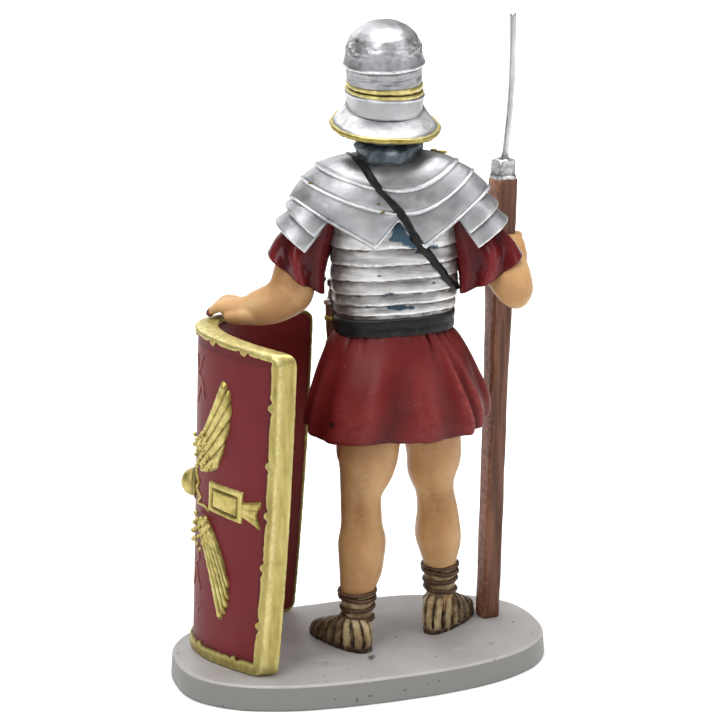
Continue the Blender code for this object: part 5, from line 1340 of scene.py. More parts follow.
def faceOut(degrees, up):
    side = abs(degrees + 90.0)
    brow = 0.5 * bump(up, 1.6, 0.9) * bump(side, 0.0, 42.0)
    eyes = -0.8 * bump(up, 0.45, 0.85) * bump(side, 25.0, 14.0)
    ball = 0.50 * bump(up, 0.35, 0.5) * bump(side, 25.0, 9.0)
    lid = 0.14 * bump(up, 0.78, 0.14) * bump(side, 25.0, 10.0)
    lid += 0.09 * bump(up, -0.12, 0.12) * bump(side, 25.0, 9.0)
    nose = 1.9 * bump(side, 0.0, 8.5) * ease(up, -3.3, -2.5) * (1.0 - ease(up, -1.8, 1.6))
    wings = 0.7 * bump(side, 10.0, 5.0) * bump(up, -2.6, 0.5)
    bridge = 0.7 * bump(side, 0.0, 8.0) * bump(up, 0.4, 1.5)
    upper = 0.42 * bump(up, -3.95, 0.3) * bump(side, 0.0, 15.0)
    lower = 0.46 * bump(up, -4.75, 0.34) * bump(side, 0.0, 13.0)
    line = -0.3 * bump(up, -4.35, 0.13) * bump(side, 0.0, 17.0)
    chin = 0.65 * bump(up, -6.4, 0.9) * bump(side, 0.0, 20.0)
    return brow + eyes + ball + lid + nose + wings + bridge + upper + lower + line + chin


# darker paint on the face: amount, height, how tall, degrees off the middle, how wide
faceShades = [(0.55, -4.35, 0.16, 0.0, 14.0), (0.5, 1.95, 0.3, 24.0, 13.0), (0.5, 0.62, 0.12, 25.0, 9.0),
              (0.7, 0.3, 0.26, 25.0, 3.2), (0.25, 0.6, 1.0, 25.0, 16.0)]


def makeFace():
    rings, washAndShadeRows = [], []
    for up, halfWidth, halfDepth, cy in smoothRows(head["levels"], 9):
        ring, shades = [], []
        for i in range(220):
            degrees = -270.0 + 360.0 * i / 220
            way = unitTurn(degrees)
            out = faceOut(degrees, up)
            side = abs(degrees + 90.0)
            ring.append(Vector((head["place"].x + way.x * (halfWidth + out),
                                head["place"].y + cy + way.y * (halfDepth + out), head["place"].z + up)))
            # painted shade on the neck under the jaw
            shade = 0.5 * ease(-up, 7.0, 8.5)
            for amount, height, tall, off, wide in faceShades:
                shade += amount * bump(up, height, tall) * bump(side, off, wide)
            shades.append(min(shade, 1.0))
        rings.append(ring)
        washAndShadeRows.append(shades)
    loftPiece("headAndNeck", rings, "skin", washAndShadeRows)


# Arms and hands

def tubeShape(stations, sides, steps, across=alongX):
    return loftShape(tubeRings(stations, sides, steps, across))


spear = {
    "length": 89.0, "footSide": 3.85, "middleSide": 3.95, "topSide": 4.6,
    "turn": 28.0, "foot": Vector((-25.7, -11.9, 0.0)), "fist": Vector((-27.05, -12.0, 74.3)),
    "capHeight": 3.9, "capSide": 3.7, "wire": 1.2, "wireLength": 27.4, "wireSeat": 2.4, "bow": 0.5,
    "offset": 0.2, "lean": 0.6,
}


def shaftAxis(height):
    return spear["foot"] + (spear["fist"] - spear["foot"]) * (height / spear["fist"].z)


def shaftSide(height):
    if height < 0.5 * spear["length"]:
        return mixed(spear["footSide"], spear["middleSide"], height / (0.5 * spear["length"]))
    t = ease(height, 0.5 * spear["length"], 0.88 * spear["length"])
    return mixed(spear["middleSide"], spear["topSide"], t)


# the arm bends at the elbow, and the fist closes round the shaft
rightArm = {
    "upper": [((-22.6, -1.4, 80.0), 3.6, 3.8), ((-25.9, -0.7, 75.0), 3.8, 3.9),
              ((-28.5, 0.8, 71.2), 3.85, 3.8), ((-29.1, 0.4, 68.8), 3.1, 3.2),
              ((-29.0, -0.4, 67.4), 1.5, 1.7)],
    "fore": [((-28.9, 1.6, 69.6), 2.6, 2.6), ((-29.0, -0.6, 70.3), 3.5, 3.5), ((-29.2, -3.6, 71.9), 3.2, 3.3),
             ((-29.2, -6.6, 73.3), 2.7, 2.8), ((-28.9, -9.0, 74.1), 2.4, 3.0)],
    "flesh": 1.7,  # thickness of the hand round the shaft
    "palm": [(-4.3, -0.9), (-3.4, 0.0), (0.0, 0.35), (2.6, -0.3), (4.2, -1.3)],
    "fingers": {"count": 4, "top": 3.0, "step": 2.0, "turns": (-150.0, -100.0, -55.0, -15.0)},
    "thumb": [(120.0, 2.2), (75.0, 3.2), (35.0, 3.9), (5.0, 4.0)],
}


def makeRightHand():
    centre = spear["fist"]
    outer = 0.5 * shaftSide(centre.z) * 1.25 + rightArm["flesh"]
    shapes = [tubeShape(rightArm["upper"], 40, 6), tubeShape(rightArm["fore"], 40, 6)]
    palm = []
    for rise, grow in rightArm["palm"]:
        half = outer + grow
        palm.append(oval(centre + Vector((-0.35, 0.2, rise)), alongX, alongY,
                         half, half * 1.02, 40, 2.4))
    shapes.append(loftShape(palm))

    def bent(turns, reach, wide, deep):
        stations = []
        for degrees, rise in turns:
            place = centre + unitTurn(degrees) * reach + Vector((0.0, 0.0, rise))
            stations.append((tuple(place), wide, deep))
        return tubeShape(stations, 16, 5, alongZ)

    fingers = rightArm["fingers"]
    for k in range(fingers["count"]):
        rise = fingers["top"] - fingers["step"] * k
        shapes.append(bent([(degrees, rise) for degrees in fingers["turns"]], outer + 0.15, 1.0, 0.85))
    shapes.append(bent(rightArm["thumb"], outer - 0.15, 1.15, 0.95))

    def shade(point):
        near = point - centre
        between = max(0.0, math.cos(math.pi * (near.z + 1.0)))
        return 0.45 * between * ease(-near.y, 0.5, 3.0) * bump(near.z, 0.0, 4.5)

    softUnion("rightArm", shapes, 0.28, 5, shade)


# Shield. Its face is described by the arc from the middle line, the height and the rise.

shield = {
    "height": 62.4, "chord": 37.4, "depth": 17.5, "wall": 2.6, "taper": 0.5, "corner": 2.0,
    "borderRise": 0.45, "boss": 6.2, "curve": 2.05, "turn": math.radians(-3.3),
    "lean": Vector((-2.3, 0.6, 0.0)), "place": Vector((15.1, 2.4, 0.0)), "bossHeight": 32.4,
    "arch": 1.7, "footTaper": 0.085, "middleWall": 0.4,
}


def shieldCurve(across):
    size = abs(across)
    point = Vector((shield["depth"] * (1.0 - size ** shield["curve"]), 0.5 * shield["chord"] * across, 0.0))
    slope = shield["depth"] * shield["curve"] * power(across, shield["curve"] - 1.0)
    return point, Vector((0.5 * shield["chord"], slope, 0.0)).normalized()


arcSteps = 400
arcShares = [k / arcSteps for k in range(arcSteps + 1)]
arcLengths = [0.0]
for low, high in zip(arcShares, arcShares[1:]):
    arcLengths.append(arcLengths[-1] + (shieldCurve(high)[0] - shieldCurve(low)[0]).length)
halfArc = arcLengths[-1]


def acrossAt(arc):
    reach = min(abs(arc), halfArc)
    low, high = 0, arcSteps
    while high - low > 1:
        middle = (low + high) // 2
        if arcLengths[middle] > reach:
            high = middle
        else:
            low = middle
    t = (reach - arcLengths[low]) / (arcLengths[high] - arcLengths[low])
    return math.copysign(mixed(arcShares[low], arcShares[high], t), arc)


shieldPlace = Matrix.Translation(shield["place"]) @ Matrix.Rotation(shield["turn"], 4, "Z")


def leaned(point, height, across=0.0):
    share = height / shield["height"]
    arch = shield["arch"] * (1.0 - across * across) * max(share, 0.0) ** 3
    return shieldPlace @ (point + Vector((0.0, 0.0, height + arch))) + shield["lean"] * share


def atFoot(arc, height):
    share = min(max(1.0 - height / shield["height"], 0.0), 1.0)
    return arc * (1.0 - shield["footTaper"] * share * share)


def shieldPoint(arc, height, rise=0.0):
    arc = atFoot(arc, height)
    across = acrossAt(arc)
    point, out = shieldCurve(across)
    beyond = abs(arc) - halfArc
    if beyond > 0.0:
        point = point + Vector((-out.y, out.x, 0.0)) * math.copysign(beyond, arc)
    return leaned(point + out * rise, height, across)


def insidePoint(arc, height, depth):
    across = acrossAt(atFoot(arc, height))
    depth *= 1.0 + shield["middleWall"] * (1.0 - across * across)
    back = Vector((-depth, -across * shield["taper"] * depth / shield["wall"], 0.0))
    return leaned(shieldCurve(across)[0] + back, height, across)


def cornerDrop(arc):
    into = abs(arc) - (halfArc - shield["corner"])
    if into <= 0.0:
        return 0.0
    radius = shield["corner"]
    return radius - math.sqrt(max(radius ** 2 - min(into, radius) ** 2, 0.0))


def makeShieldWall():
    # outside face and hollow side are two skins of one wall, in two reds
    for name, outer in (("shieldFace", True), ("shieldHollow", False)):
        rings, washAndShadeRows = [], []
        columns = 180
        for k in range(columns + 1):
            arc = (halfArc - 0.15) * (2.0 * k / columns - 1.0)
            off = cornerDrop(arc) * 0.92 + 0.15
            low, high = off, shield["height"] - off - 0.3
            ring, shades = [], []
            rows = 60
            for i in range(rows + 1):
                z = mixed(low, high, i / rows)
                if outer:
                    ring.append(shieldPoint(arc, z, 0.0))
                else:
                    ring.append(insidePoint(arc, z, shield["wall"]))
                edge = min(z, shield["height"] - z, halfArc - abs(arc))
                shades.append(0.55 * bump(edge, 2.4, 0.5) if outer else 0.5 * bump(edge, 0.4, 0.8))
            for i in range(rows, -1, -1):
                z = mixed(low, high, i / rows)
                ring.append(insidePoint(arc, z, 0.42 * shield["wall"] if outer else 0.46 * shield["wall"]))
                shades.append(0.0)
            rings.append(ring)
            washAndShadeRows.append(shades)
        finish = "shieldRed" if outer else "shieldInner"
        loftPiece(name, rings, finish, washAndShadeRows, "shield")


# round the shield's edge: arc, height, and the way in from the edge
def borderPath():
    radius = shield["corner"]
    halfWide, top = halfArc, shield["height"]
    path = []

    def straight(a, b, inward, count):
        for k in range(count):
            t = k / count
            path.append((mixed(a[0], b[0], t), mixed(a[1], b[1], t), *inward))

    def turn(cx, cz, start):
        for k in range(12):
            angle = math.radians(start + 90.0 * k / 12)
            path.append((cx + radius * math.cos(angle), cz + radius * math.sin(angle),
                         -math.cos(angle), -math.sin(angle)))

    straight((-halfWide + radius, 0.0), (halfWide - radius, 0.0), (0.0, 1.0), 360)
    turn(halfWide - radius, radius, -90.0)
    straight((halfWide, radius), (halfWide, top - radius), (-1.0, 0.0), 400)
    turn(halfWide - radius, top - radius, 0.0)
    straight((halfWide - radius, top), (-halfWide + radius, top), (0.0, -1.0), 360)
    turn(-halfWide + radius, top - radius, 90.0)
    straight((-halfWide, top - radius), (-halfWide, radius), (1.0, 0.0), 400)
    turn(-halfWide + radius, radius, 180.0)
    return path


# small lobes on the inner side of the gold border: (arc, height)
borderLobes = [(way * halfArc, z) for way in (-1.0, 1.0) for z in (52.5, 41.5, 32.0, 21.8, 10.2)]
borderLobes += [(arc, shield["height"]) for arc in (-18.5, -10.4, 2.8, 10.4, 18.5)]
borderLobes += [(arc, 0.0) for arc in (-19.0, -8.0, 8.0, 19.0)]


def makeShieldBorder():
    rings, washAndShadeRows = [], []
    wallDepth = shield["wall"]
    for arc, z, inArc, inZ in borderPath():
        def out(w, rise):
            return shieldPoint(arc + inArc * w, z + inZ * w, rise)

        def inside(w, depth):
            return insidePoint(min(max(arc + inArc * w, -halfArc), halfArc), z + inZ * w, depth)

        lobe = 0.0
        for lobeArc, lobeZ in borderLobes:
            gap = math.hypot(arc - lobeArc, z - lobeZ)
            lobe += 0.50 * math.exp(-(gap / 0.62) ** 4) - 0.30 * math.exp(-((gap - 1.1) / 0.4) ** 2)
        ragged = 0.10 * wobble((arc * 1.3, z * 1.3, 0.0), 1.3) + 0.22 * wobble((arc, z, 5.0), 4.0)
        topShare, footShare = max(-inZ, 0.0), max(inZ, 0.0)
        edgeShare = min(abs(arc) / halfArc, 1.0)
        wide = 2.05 + 0.35 * footShare + topShare * (0.75 * edgeShare ** 3 - 1.0)
        wide += 0.5 * bump(z, 0.0, 14.0) * abs(inArc)
        wide = max(wide + lobe + ragged, 0.75)
        up = shield["borderRise"] + 0.1
        bevel = 0.15 + topShare * (0.10 + 0.7 * edgeShare ** 4)
        soft = min(0.4, 0.4 * wide)
        ring = [out(wide, -0.3), out(wide - 0.02, up * 0.55), out(wide - 0.16, up * 0.92)]
        ring.append(out(wide - soft, up))
        for t in (0.25, 0.5, 0.75):
            ring.append(out(mixed(wide - soft, bevel + 0.2, t), up + 0.05 * math.sin(math.pi * t)))
        ring += [out(bevel + 0.12, up + 0.04), out(bevel * 0.5 + 0.02, up * 0.7)]
        # over the edge of the wall, then the lip that holds its inner side
        ring += [inside(inset, share * wallDepth) for inset, share in
                 ((-0.02, 0.04), (-0.06, 0.25), (-0.08, 0.5), (-0.08, 0.75), (-0.05, 0.95))]
        ring += [inside(inset, wallDepth + past) for inset, past in
                 ((0.06, 0.06), (0.3, 0.1), (0.55, 0.08), (0.65, -0.2))]
        rings.append(ring)
        grime = 0.35 * ease(wobble((arc, z, 2.0), 2.2), 0.1, 0.5)
        borderFaceShadeAndGrime = 0.22 + 0.5 * grime  # painted shade: the face of the border is darker than its edge, with grime
        # painted highlight along the border's outer corner and on the inner lip; darker where it tucks under
        washAndShadeRows.append([1.0, 0.8, 0.1, -0.1, borderFaceShadeAndGrime, borderFaceShadeAndGrime, borderFaceShadeAndGrime, -0.3, -0.6, -0.3,
                       grime * 0.3, grime * 0.5, grime * 0.3, -0.4, 0.1, 0.3, 0.7, 1.0])
    loftPiece("shieldBorder", rings, "borderGold", washAndShadeRows, "shield", closed=True, rough=(0.07, 1.3))


# closed low relief over the shield's face; u and v run from 0 to 1
def reliefPatch(placeAt, heightAt, washAndShadeAt, nu, nv, foot=0.35):
    points, washAndShade, faces = [], [], []
    for layer in (0, 1):
        for j in range(nv + 1):
            for i in range(nu + 1):
                u, v = i / nu, j / nv
                arc, z = placeAt(u, v)
                points.append(shieldPoint(arc, z, heightAt(u, v) if layer == 0 else -foot))
                washAndShade.append(washAndShadeAt(u, v) if layer == 0 else 0.8)
    size = (nu + 1) * (nv + 1)
    for j in range(nv):
        for i in range(nu):
            a = j * (nu + 1) + i
            faces.append((a, a + 1, a + nu + 2, a + nu + 1))
            faces.append((size + a, size + a + nu + 1, size + a + nu + 2, size + a + 1))
    rim = [(i, 0) for i in range(nu)] + [(nu, j) for j in range(nv)]
    rim += [(i, nv) for i in range(nu, 0, -1)] + [(0, j) for j in range(nv, 0, -1)]
    index = [j * (nu + 1) + i for i, j in rim]
    for k in range(len(index)):
        a, b = index[k], index[(k + 1) % len(index)]
        faces.append((a, b, size + b, size + a))
    return points, faces, washAndShade


def curveThrough(a, middle, b, t):
    return [(1 - t) ** 2 * p + 2 * t * (1 - t) * q + t * t * r for p, q, r in zip(a, middle, b)]


# Each wing: arc and height over the boss, for the long first feather, the middle and the last one.
wings = {
    "upper": {"root": [(4.9, 8.6), (6.0, 6.2), (8.0, 4.2)], "bend": [(9.6, 13.6), (10.8, 10.8), (10.4, 4.8)],
              "tip": [(12.7, 22.6), (18.2, 20.6), (12.2, 5.8)]},
    "lower": {"root": [(5.9, -5.2), (7.2, -4.4), (9.0, -4.0)],
              "bend": [(10.8, -11.8), (12.4, -9.9), (13.6, -7.6)],
              "tip": [(14.0, -23.4), (17.4, -21.4), (16.0, -14.0)]},
}
feathers = 5


def makeWings():
    shapes = []
    for side in (-1.0, 1.0):
        for wing in wings.values():
            def placeAt(u, v, side=side, wing=wing):
                rows = [curveThrough(*wing[part], u) for part in ("root", "bend", "tip")]
                arc, z = curveThrough(*rows, v)
                scallop = 0.5 * abs(math.sin(math.pi * feathers * u)) ** 0.7 * v ** 8
                arc += scallop * 0.7
                z += math.copysign(scallop * 0.5, z)
                return side * arc, shield["bossHeight"] + z

            def heightAt(u, v):
                ridge = abs(math.sin(math.pi * feathers * u)) ** 0.55
                edge = min(ease(min(u, 1.0 - u, v), 0.0, 0.05), ease(1.0 - v, 0.0, 0.03))
                barb = 0.04 * math.sin(60.0 * v + 4.0 * u)
                return edge * (0.26 + 0.50 * ridge + barb * ridge + 0.10 * (1.0 - v)) + 0.02

            # painted shade in the grooves between feathers and a dark line round the outline, painted
            # highlight on the ridges
            def washAndShadeAt(u, v):
                groove = 1.0 - abs(math.sin(math.pi * feathers * u)) ** 0.55
                edge = min(u, 1.0 - u, v * 0.7, (1.0 - v) * 0.7)
                shade = 0.95 * ease(groove, 0.40, 0.85) - 0.25 * (1.0 - groove)
                return min(shade + 0.5 * bump(edge, 0.0, 0.02), 1.0)

            shapes.append(reliefPatch(placeAt, heightAt, washAndShadeAt, 80, 60))
    joinedPiece("shieldWings", shapes, "gold", "shield", rough=(0.05, 0.7))


# the rectangle cut into the plate: 1 on its lines and 0 away from them
def framedLine(u, v, uEnds, vEnds):
    far = 9.0
    upright = min(abs(u - 0.13), abs(u - 0.86)) * 9.5 if vEnds[0] < v < vEnds[1] else far
    level = min(abs(v - 0.17), abs(v - 0.79)) * 6.2 if uEnds[0] < u < uEnds[1] else far
    return math.exp(-(min(upright, level) / 0.22) ** 2)


def makeBolts():
    shapes = []
    for side in (-1.0, 1.0):
        def plateAt(u, v, side=side):
            arc = mixed(10.2, 19.3, u)
            return side * arc, shield["bossHeight"] + mixed(mixed(-2.45, -3.25, u), mixed(3.25, 2.95, u), v)

        def plateHeight(u, v):
            edge = min(ease(min(u, 1.0 - u), 0.0, 0.025), ease(min(v, 1.0 - v), 0.0, 0.04))
            return edge * (0.55 - 0.32 * framedLine(u, v, (0.14, 0.85), (0.16, 0.80)))

        # painted shade in the cut lines, painted highlight near the plate's edges
        def boltPlateShading(u, v):
            line = framedLine(u, v, (0.12, 0.87), (0.15, 0.81))
            return line - 0.5 * bump(min(u, 1 - u, v, 1 - v), 0.03, 0.02)

        def flareAt(u, v, side=side):
            arc = mixed(18.9, 23.4, u) - 0.35 * math.sin(math.pi * v) * u ** 3
            arc += 0.35 * math.sin(3 * math.pi * v) * u
            low, high = mixed(-1.9, -3.7, u ** 1.4), mixed(1.0, 2.0, u ** 1.6)
            return side * arc, shield["bossHeight"] + mixed(low, high, v)

        def flareHeight(u, v):
            edge = ease(min(1.0 - u, v, 1.0 - v), 0.0, 0.08)
            return edge * (0.42 + 0.16 * abs(math.sin(3.0 * math.pi * v)) * u)

        # painted shade in the grooves of the flare
        def flareShading(u, v):
            return 0.7 * ease(1.0 - abs(math.sin(3.0 * math.pi * v)), 0.5, 1.0) * u

        shapes.append(reliefPatch(plateAt, plateHeight, boltPlateShading, 90, 60))
        shapes.append(reliefPatch(flareAt, flareHeight, flareShading, 40, 40))
    joinedPiece("shieldBolts", shapes, "gold", "shield", rough=(0.05, 0.8))


# arc and height over the boss for the small beads at the roots of the wings
beadPlaces = [(2.2, 7.4), (3.2, 8.6), (4.4, 9.4), (4.7, 7.9), (3.6, 6.6), (5.8, 7.2), (6.6, 8.6),
              (7.2, 6.2), (5.0, 5.7), (6.4, 5.0), (8.2, 5.0), (2.8, 5.6), (4.0, 4.6),
              (5.6, 4.0), (7.2, 3.8), (2.0, 9.2), (5.4, 10.2),
              (3.4, 3.6)]
zigzag = [(3.6, 3.6), (5.6, 1.6), (4.4, 0.2), (6.6, -1.2), (5.2, -2.4), (8.4, -2.2), (10.4, -2.9)]
strokePaths = [  # thin raised lines near the middle of the face
    [(6.6, 25.6), (4.4, 22.0), (6.2, 20.8), (3.6, 16.6)],
    [(3.2, 25.2), (4.4, 22.0)],
    [(6.2, 20.8), (7.4, 17.8)],
    [(5.0, -10.6), (6.6, -13.0), (4.6, -14.6), (7.4, -19.6)],
    [(3.4, -19.4), (4.6, -14.6)],
    [(7.6, -22.2), (6.0, -24.0)],
    [(11.6, -9.6), (12.8, -11.8), (12.0, -13.2)],
]


def pathRows(path, steps, last):
    # points along straight runs; last is how many of the steps each run keeps
    return [(mixed(a[0], b[0], t / steps), mixed(a[1], b[1], t / steps))
            for a, b in zip(path, path[1:]) for t in range(last)]


def faceTube(rows, side, rise, radius):
    # a thin line on the shield's face, without the points that fall together
    stations = []
    for arc, z in rows:
        place = shieldPoint(side * arc, shield["bossHeight"] + z, rise)
        if not stations or (place - Vector(stations[-1][0])).length > 0.05:
            stations.append((tuple(place), radius, radius))
    return tubeShape(stations, 10, 1, Vector((0.3, 0.2, 0.9)))


def makeBossAndBeads():
    shapes = []
    turned = Matrix.Rotation(shield["turn"], 3, "Z")
    aside = turned @ alongY
    out = turned @ shieldCurve(0.0)[1]
    middle = shieldPoint(0.0, shield["bossHeight"])
    radius = 0.44 * shield["boss"]
    # painted shade in the step round the boss and at the dome's foot, painted highlight on the step's edge
    rows = [(-0.6, 1.25, 0.9), (0.05, 1.25, 0.7), (0.22, 1.18, -0.3), (0.28, 1.06, 0.9), (0.3, 1.0, 0.9)]
    for k in range(1, 15):
        angle = 0.5 * math.pi * k / 14
        reach = 0.3 + radius * 0.95 * math.sin(angle)
        rows.append((reach, max(math.cos(angle), 0.02), 0.5 * bump(k, 0, 2.5)))
    rings = [oval(middle + out * reach, aside, alongZ, radius * size, radius * size, 64)
             for reach, size, _ in rows]
    shapes.append(loftShape(rings, [value for _, _, value in rows]))
    for side in (-1.0, 1.0):
        for way in (-1.0, 1.0):
            for arc, z in beadPlaces:
                place = shieldPoint(side * (arc + 2.9), shield["bossHeight"] + way * z + 0.5 + way, 0.85)
                size = 0.46 + 0.16 * wobble((arc, z, way), 0.7)
                rings = []
                for t in (-1.5, -1.1, -0.6, 0.0, 0.6, 1.1, 1.5):
                    half = size * math.cos(t)
                    rings.append(oval(place + alongZ * size * math.sin(t), out, aside, half, half, 14))
                # each bead is darker below and lighter on top: painted shade and painted highlight
                shapes.append(loftShape(rings, [0.8, 0.6, 0.2, 0.0, -0.4, -0.5, -0.5]))
    joinedPiece("shieldBossAndBeads", shapes, "gold", "shield")
    shapes = []
    for side in (-1.0, 1.0):
        for path in strokePaths:
            fine = smoothRows(path, 8) if len(path) < 3 else pathRows(path, 8, 9)
            shapes.append(faceTube(fine, side, 0.06, 0.17))
    points, faces, _ = joinShapes(shapes)
    # the raised lines are painted lighter along their length, a painted highlight
    makePiece("shieldStrokes", points, faces, "shieldRed", "shield", washAndShade=[-0.7] * len(points))
    # bent gold line from the boss to the plate
    shapes = [faceTube(pathRows(zigzag, 6, 6), side, 0.10, 0.30) for side in (-1.0, 1.0)]
    joinedPiece("shieldZigzag", shapes, "gold", "shield")


# the arm bends at the elbow, and the hand lies flat over the shield's top edge
leftArm = {
    "upper": [((10.2, -1.4, 79.5), 3.6, 3.8), ((11.8, -0.8, 74.2), 4.1, 4.1), ((12.9, 0.0, 69.6), 4.3, 4.2)],
    "fore": [((11.6, 0.3, 71.4), 3.4, 3.5), ((12.9, 0.0, 69.6), 4.4, 4.3), ((15.45, 0.3, 67.7), 3.9, 3.9),
             ((18.0, 0.6, 66.8), 3.3, 3.6), ((20.6, 0.2, 66.2), 3.2, 3.0), ((22.6, -0.6, 66.3), 3.5, 2.1),
             ((24.6, -1.4, 66.4), 3.4, 1.8), ((25.7, -1.8, 66.3), 2.8, 1.2)],
    "thumb": [((20.0, 1.6, 65.4), 2.0, 1.9), ((21.8, 2.4, 65.3), 1.7, 1.6), ((23.4, 2.4, 65.1), 1.45, 1.3),
              ((24.6, 1.9, 65.0), 1.2, 1.1), ((25.3, 1.5, 64.9), 0.8, 0.7)],
}


def makeLeftHand():
    shapes = [tubeShape(leftArm["upper"], 40, 6), tubeShape(leftArm["fore"], 40, 6, alongY)]
    for k in range(4):
        y = 0.9 - 1.75 * k
        finger = [((23.4, y - 0.2, 66.8), 0.95, 0.95), ((25.4, y - 0.8, 66.9), 0.95, 0.9),
                  ((27.0 - 0.2 * k, y - 1.4, 66.2), 0.95, 0.9), ((28.1 - 0.4 * k, y - 1.9, 65.5), 0.9, 0.85),
                  ((28.7 - 0.5 * k, y - 2.1, 64.6), 0.7, 0.65)]
        shapes.append(tubeShape(finger, 16, 5, alongY))
    shapes.append(tubeShape(leftArm["thumb"], 16, 5, alongZ))

    def shade(point):
        between = max(0.0, math.sin(3.6 * (point.y + 1.1))) ** 2
        between *= ease(point.x, 23.0, 27.0) * ease(-point.y, -0.5, 1.0)
        under = 0.5 * ease(-point.z, -66.2, -64.2) * ease(point.x, 17.0, 21.0) * ease(point.y, -1.0, 1.5)
        return 0.3 * between + under

    def redTips(point):  # slips of the shield's red on the first finger
        return 1.2 * math.exp(-((point - Vector((28.5, -1.3, 65.2))).length / 1.1) ** 4)

    softUnion("leftArm", shapes, 0.25, 4, shade, redTips)


# Spear

def squaredRing(centre, side):
    across = unitTurn(spear["turn"])
    along = Vector((-across.y, across.x, 0.0))
    return oval(centre, across, along, 0.5 * side, 0.5 * side, 64, 5.0)


def makeSpear():
    rings, washAndShadeRows = [], []
    length = spear["length"]
    rows = [(0.0, 0.9), (0.15, 0.96)] + [(0.5 + (length - 0.5) * k / 90, 1.0) for k in range(91)]
    for height, share in rows:
        shades, row = [], []
        centre = shaftAxis(height)
        for point in squaredRing(centre, shaftSide(height) * share):
            way = (point - centre).normalized()
            groove = 0.12 * wobble((way.x * 6.0, way.y * 6.0, height * 0.12), 1.0)
            row.append(point + way * (groove + 0.10 * wobble(point, 5.0)))
            # one face of the shaft is painted lighter, a painted highlight; the grooves are darker
            litFace = 0.9 * bump(way.dot(unitTurn(spear["turn"])), 1.0, 0.35)
            shades.append(min(max(1.5 * max(-groove, 0.0) - litFace, -1.0), 1.0))
        rings.append(row)
        washAndShadeRows.append(shades)
    loftPiece("spearShaft", rings, "spearBrown", washAndShadeRows, "pilum_shaft")
    rings, washAndShadeRows = [], []
    # painted highlights on the cap's two rims and painted shade in the crease above the lower one
    for share, size, value in ((-0.06, 0.9, 0.9), (-0.05, 1.06, 0.7), (0.02, 1.12, -0.2), (0.16, 1.08, -0.5),
                               (0.22, 1.02, 0.7), (0.35, 1.02, 0.1), (0.6, 1.0, 0.0), (0.86, 1.0, -0.5),
                               (0.96, 0.92, -0.4), (1.0, 0.75, 0.2)):
        height = length + share * spear["capHeight"]
        base = spear["capSide"] * 1.03
        uneven = 0.35 if share < 0.1 else 0.105
        rings.append([p + Vector((0, 0, uneven * wobble((p.x * 2, p.y * 2, 1.0), 1.5)))
                      for p in squaredRing(shaftAxis(height), base * size)])
        washAndShadeRows.append(value)
    loftPiece("spearCap", rings, "ferrule", washAndShadeRows, "pilum_shaft", rough=(0.16, 1.1))
    rings, washAndShadeRows = [], []
    top = length + spear["capHeight"]
    way = shaftAxis(1.0) - shaftAxis(0.0)
    for k in range(61):
        height = mixed(-spear["wireSeat"], spear["wireLength"], k / 60)
        t = max(height, 0.0) / spear["wireLength"]
        aside = spear["offset"] + spear["lean"] * t + spear["bow"] * math.sin(math.pi * t)
        centre = shaftAxis(top) + way * height - Vector((aside, 0.0, 0.0))
        radius = 0.5 * spear["wire"] * (1.0 if k < 60 else 0.9) * (1.0 + 0.35 * bump(height, 0.0, 0.7))
        rings.append(oval(centre, alongX, alongY, radius, radius, 24))
        washAndShadeRows.append(0.7 * bump(height, 0.3, 0.5))
    loftPiece("spearWire", rings, "wireSteel", washAndShadeRows, "pilum_shank")


makeBase()
for side, values in legs.items():
    makeLeg(side, values)
    makeSandal(side, values)
    makeRopes(side, values)
print("legs and sandals done")
makeSkirt()
for side, values in sleeves.items():
    makeSleeve(side, values)
print("tunic done")
armour = [makeHoops()] + makeYoke()
for row in armPlates:
    makeArmPlate(*row)
makeBelt()
makeScarf()
makeBaldric(armour)
makeBuckle()
for name, values in hilts.items():
    makeWeapon(name, values)
print("armour and straps done")
makeBowl()
makeNeckGuard()
makeBrowGuard()
makeCheekPlates()
makeFace()
makeRightHand()
makeLeftHand()
print("head, helmet and arms done")
makeShieldWall()
makeShieldBorder()
makeWings()
makeBolts()
makeBossAndBeads()
makeSpear()
print("shield and spear done")


# Floor, camera and light

def makeFloor():
    mesh = bpy.data.meshes.new("floor")
    size = 20.0
    corners = [(-size, -size, 0), (size, -size, 0), (size, size, 0), (-size, size, 0)]
    mesh.from_pydata(corners, [], [(0, 1, 2, 3)])
    floor = bpy.data.objects.new("floor", mesh)
    bpy.context.scene.collection.objects.link(floor)
    material = bpy.data.materials.new("paleFloor")
    material.use_nodes = True
    shader = material.node_tree.nodes["Principled BSDF"]
    shader.inputs["Base Color"].default_value = (0.90, 0.90, 0.90, 1.0)
    shader.inputs["Roughness"].default_value = 0.8
    shader.inputs["Emission Color"].default_value = (1.0, 1.0, 1.0, 1.0)
    # the pale sweep glows more the further it lies from the figure, and more behind it than before it
    tree = material.node_tree
    place = addNode(tree, "ShaderNodeTexCoord")
    a = studio["azimuth"]
    away = addNode(tree, "ShaderNodeVectorMath", operation="DISTANCE")
    away.inputs[1].default_value = (0.2 * math.sin(a), -0.2 * math.cos(a), 0.0)
    tree.links.new(place.outputs["Object"], away.inputs[0])
    glow = ramp(tree, away.outputs["Value"], [(t, (g, g, g)) for t, g in studio["floorGlow"]])
    tree.links.new(glow, shader.inputs["Emission Strength"])
    mesh.materials.append(material)


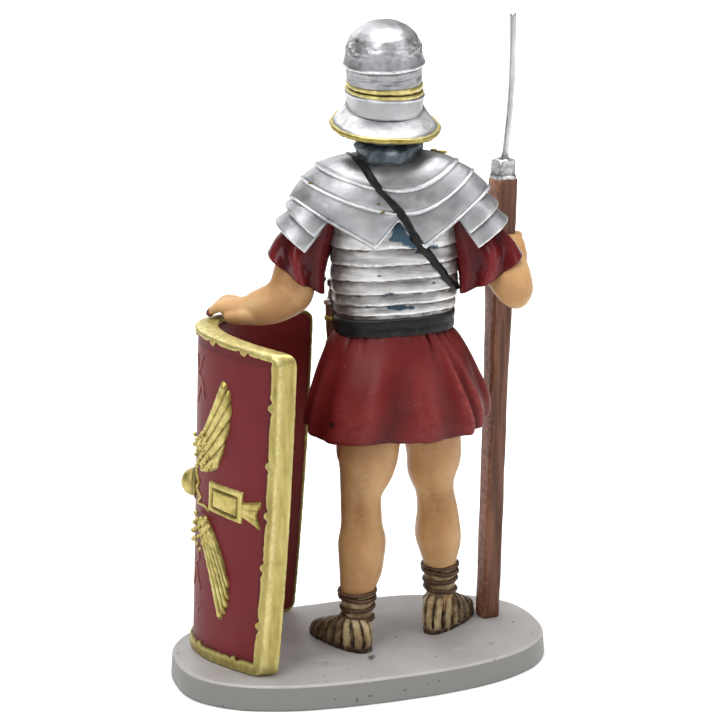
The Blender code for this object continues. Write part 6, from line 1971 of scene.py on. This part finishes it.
def makeLight(name, place, aim, size, energy):
    data = bpy.data.lights.new(name, "AREA")
    data.shape = "RECTANGLE"
    data.size, data.size_y = size
    data.energy = energy
    light = bpy.data.objects.new(name, data)
    bpy.context.scene.collection.objects.link(light)
    light.location = place
    light.rotation_euler = (Vector(aim) - Vector(place)).to_track_quat("-Z", "Y").to_euler()


studio = {
    "azimuth": math.radians(161.6), "elevation": math.radians(14.5), "distance": 0.397,
    "target": Vector((-0.00041, -0.00123, 0.0609)), "lens": 104.35,
    # glow of the floor by distance in metres from a spot 0.2 m before the figure
    "floorGlow": [(0.0, 0.0), (0.15, 0.0), (0.3, 0.3), (0.5, 0.6), (0.8, 0.85), (1.0, 0.95)],
    # how bright the room is from the floor line up to straight overhead
    "room": [(0.0, 0.14), (0.35, 0.12), (0.6, 0.26), (0.8, 0.6), (1.0, 0.75)],
}


def makeStudio():
    scene = bpy.context.scene
    data = bpy.data.cameras.new("camera")
    camera = bpy.data.objects.new("camera", data)
    scene.collection.objects.link(camera)
    a, e = studio["azimuth"], studio["elevation"]
    back = Vector((math.sin(a) * math.cos(e), -math.cos(a) * math.cos(e), math.sin(e)))
    camera.location = studio["target"] + back * studio["distance"]
    camera.rotation_euler = (-back).to_track_quat("-Z", "Y").to_euler()
    data.lens = studio["lens"]
    data.sensor_width = 36.0
    data.clip_start = 0.01
    scene.camera = camera
    aim = (0.0, 0.0, 0.06)
    makeLight("keyLeft", (0.40, 0.34, 0.44), aim, (0.28, 0.28), 1.1)
    makeLight("fillRight", (-0.40, 0.36, 0.30), aim, (0.24, 0.34), 0.6)
    makeLight("topSoft", (0.0, 0.02, 0.55), aim, (0.44, 0.34), 2.7)
    makeLight("frontFill", (0.05, -0.5, 0.35), aim, (0.4, 0.4), 0.8)
    world = bpy.data.worlds.new("studio")
    world.use_nodes = True
    tree = world.node_tree
    place = addNode(tree, "ShaderNodeTexCoord")
    split = addNode(tree, "ShaderNodeSeparateXYZ")
    tree.links.new(place.outputs["Generated"], split.inputs["Vector"])
    tones = ramp(tree, split.outputs["Z"], [(z, (glow, glow, glow)) for z, glow in studio["room"]])
    tree.links.new(tones, tree.nodes["Background"].inputs["Color"])
    scene.world = world
    scene.view_settings.view_transform = "Standard"


makeFloor()
makeStudio()
print("studio done")

bpy.context.view_layer.update()
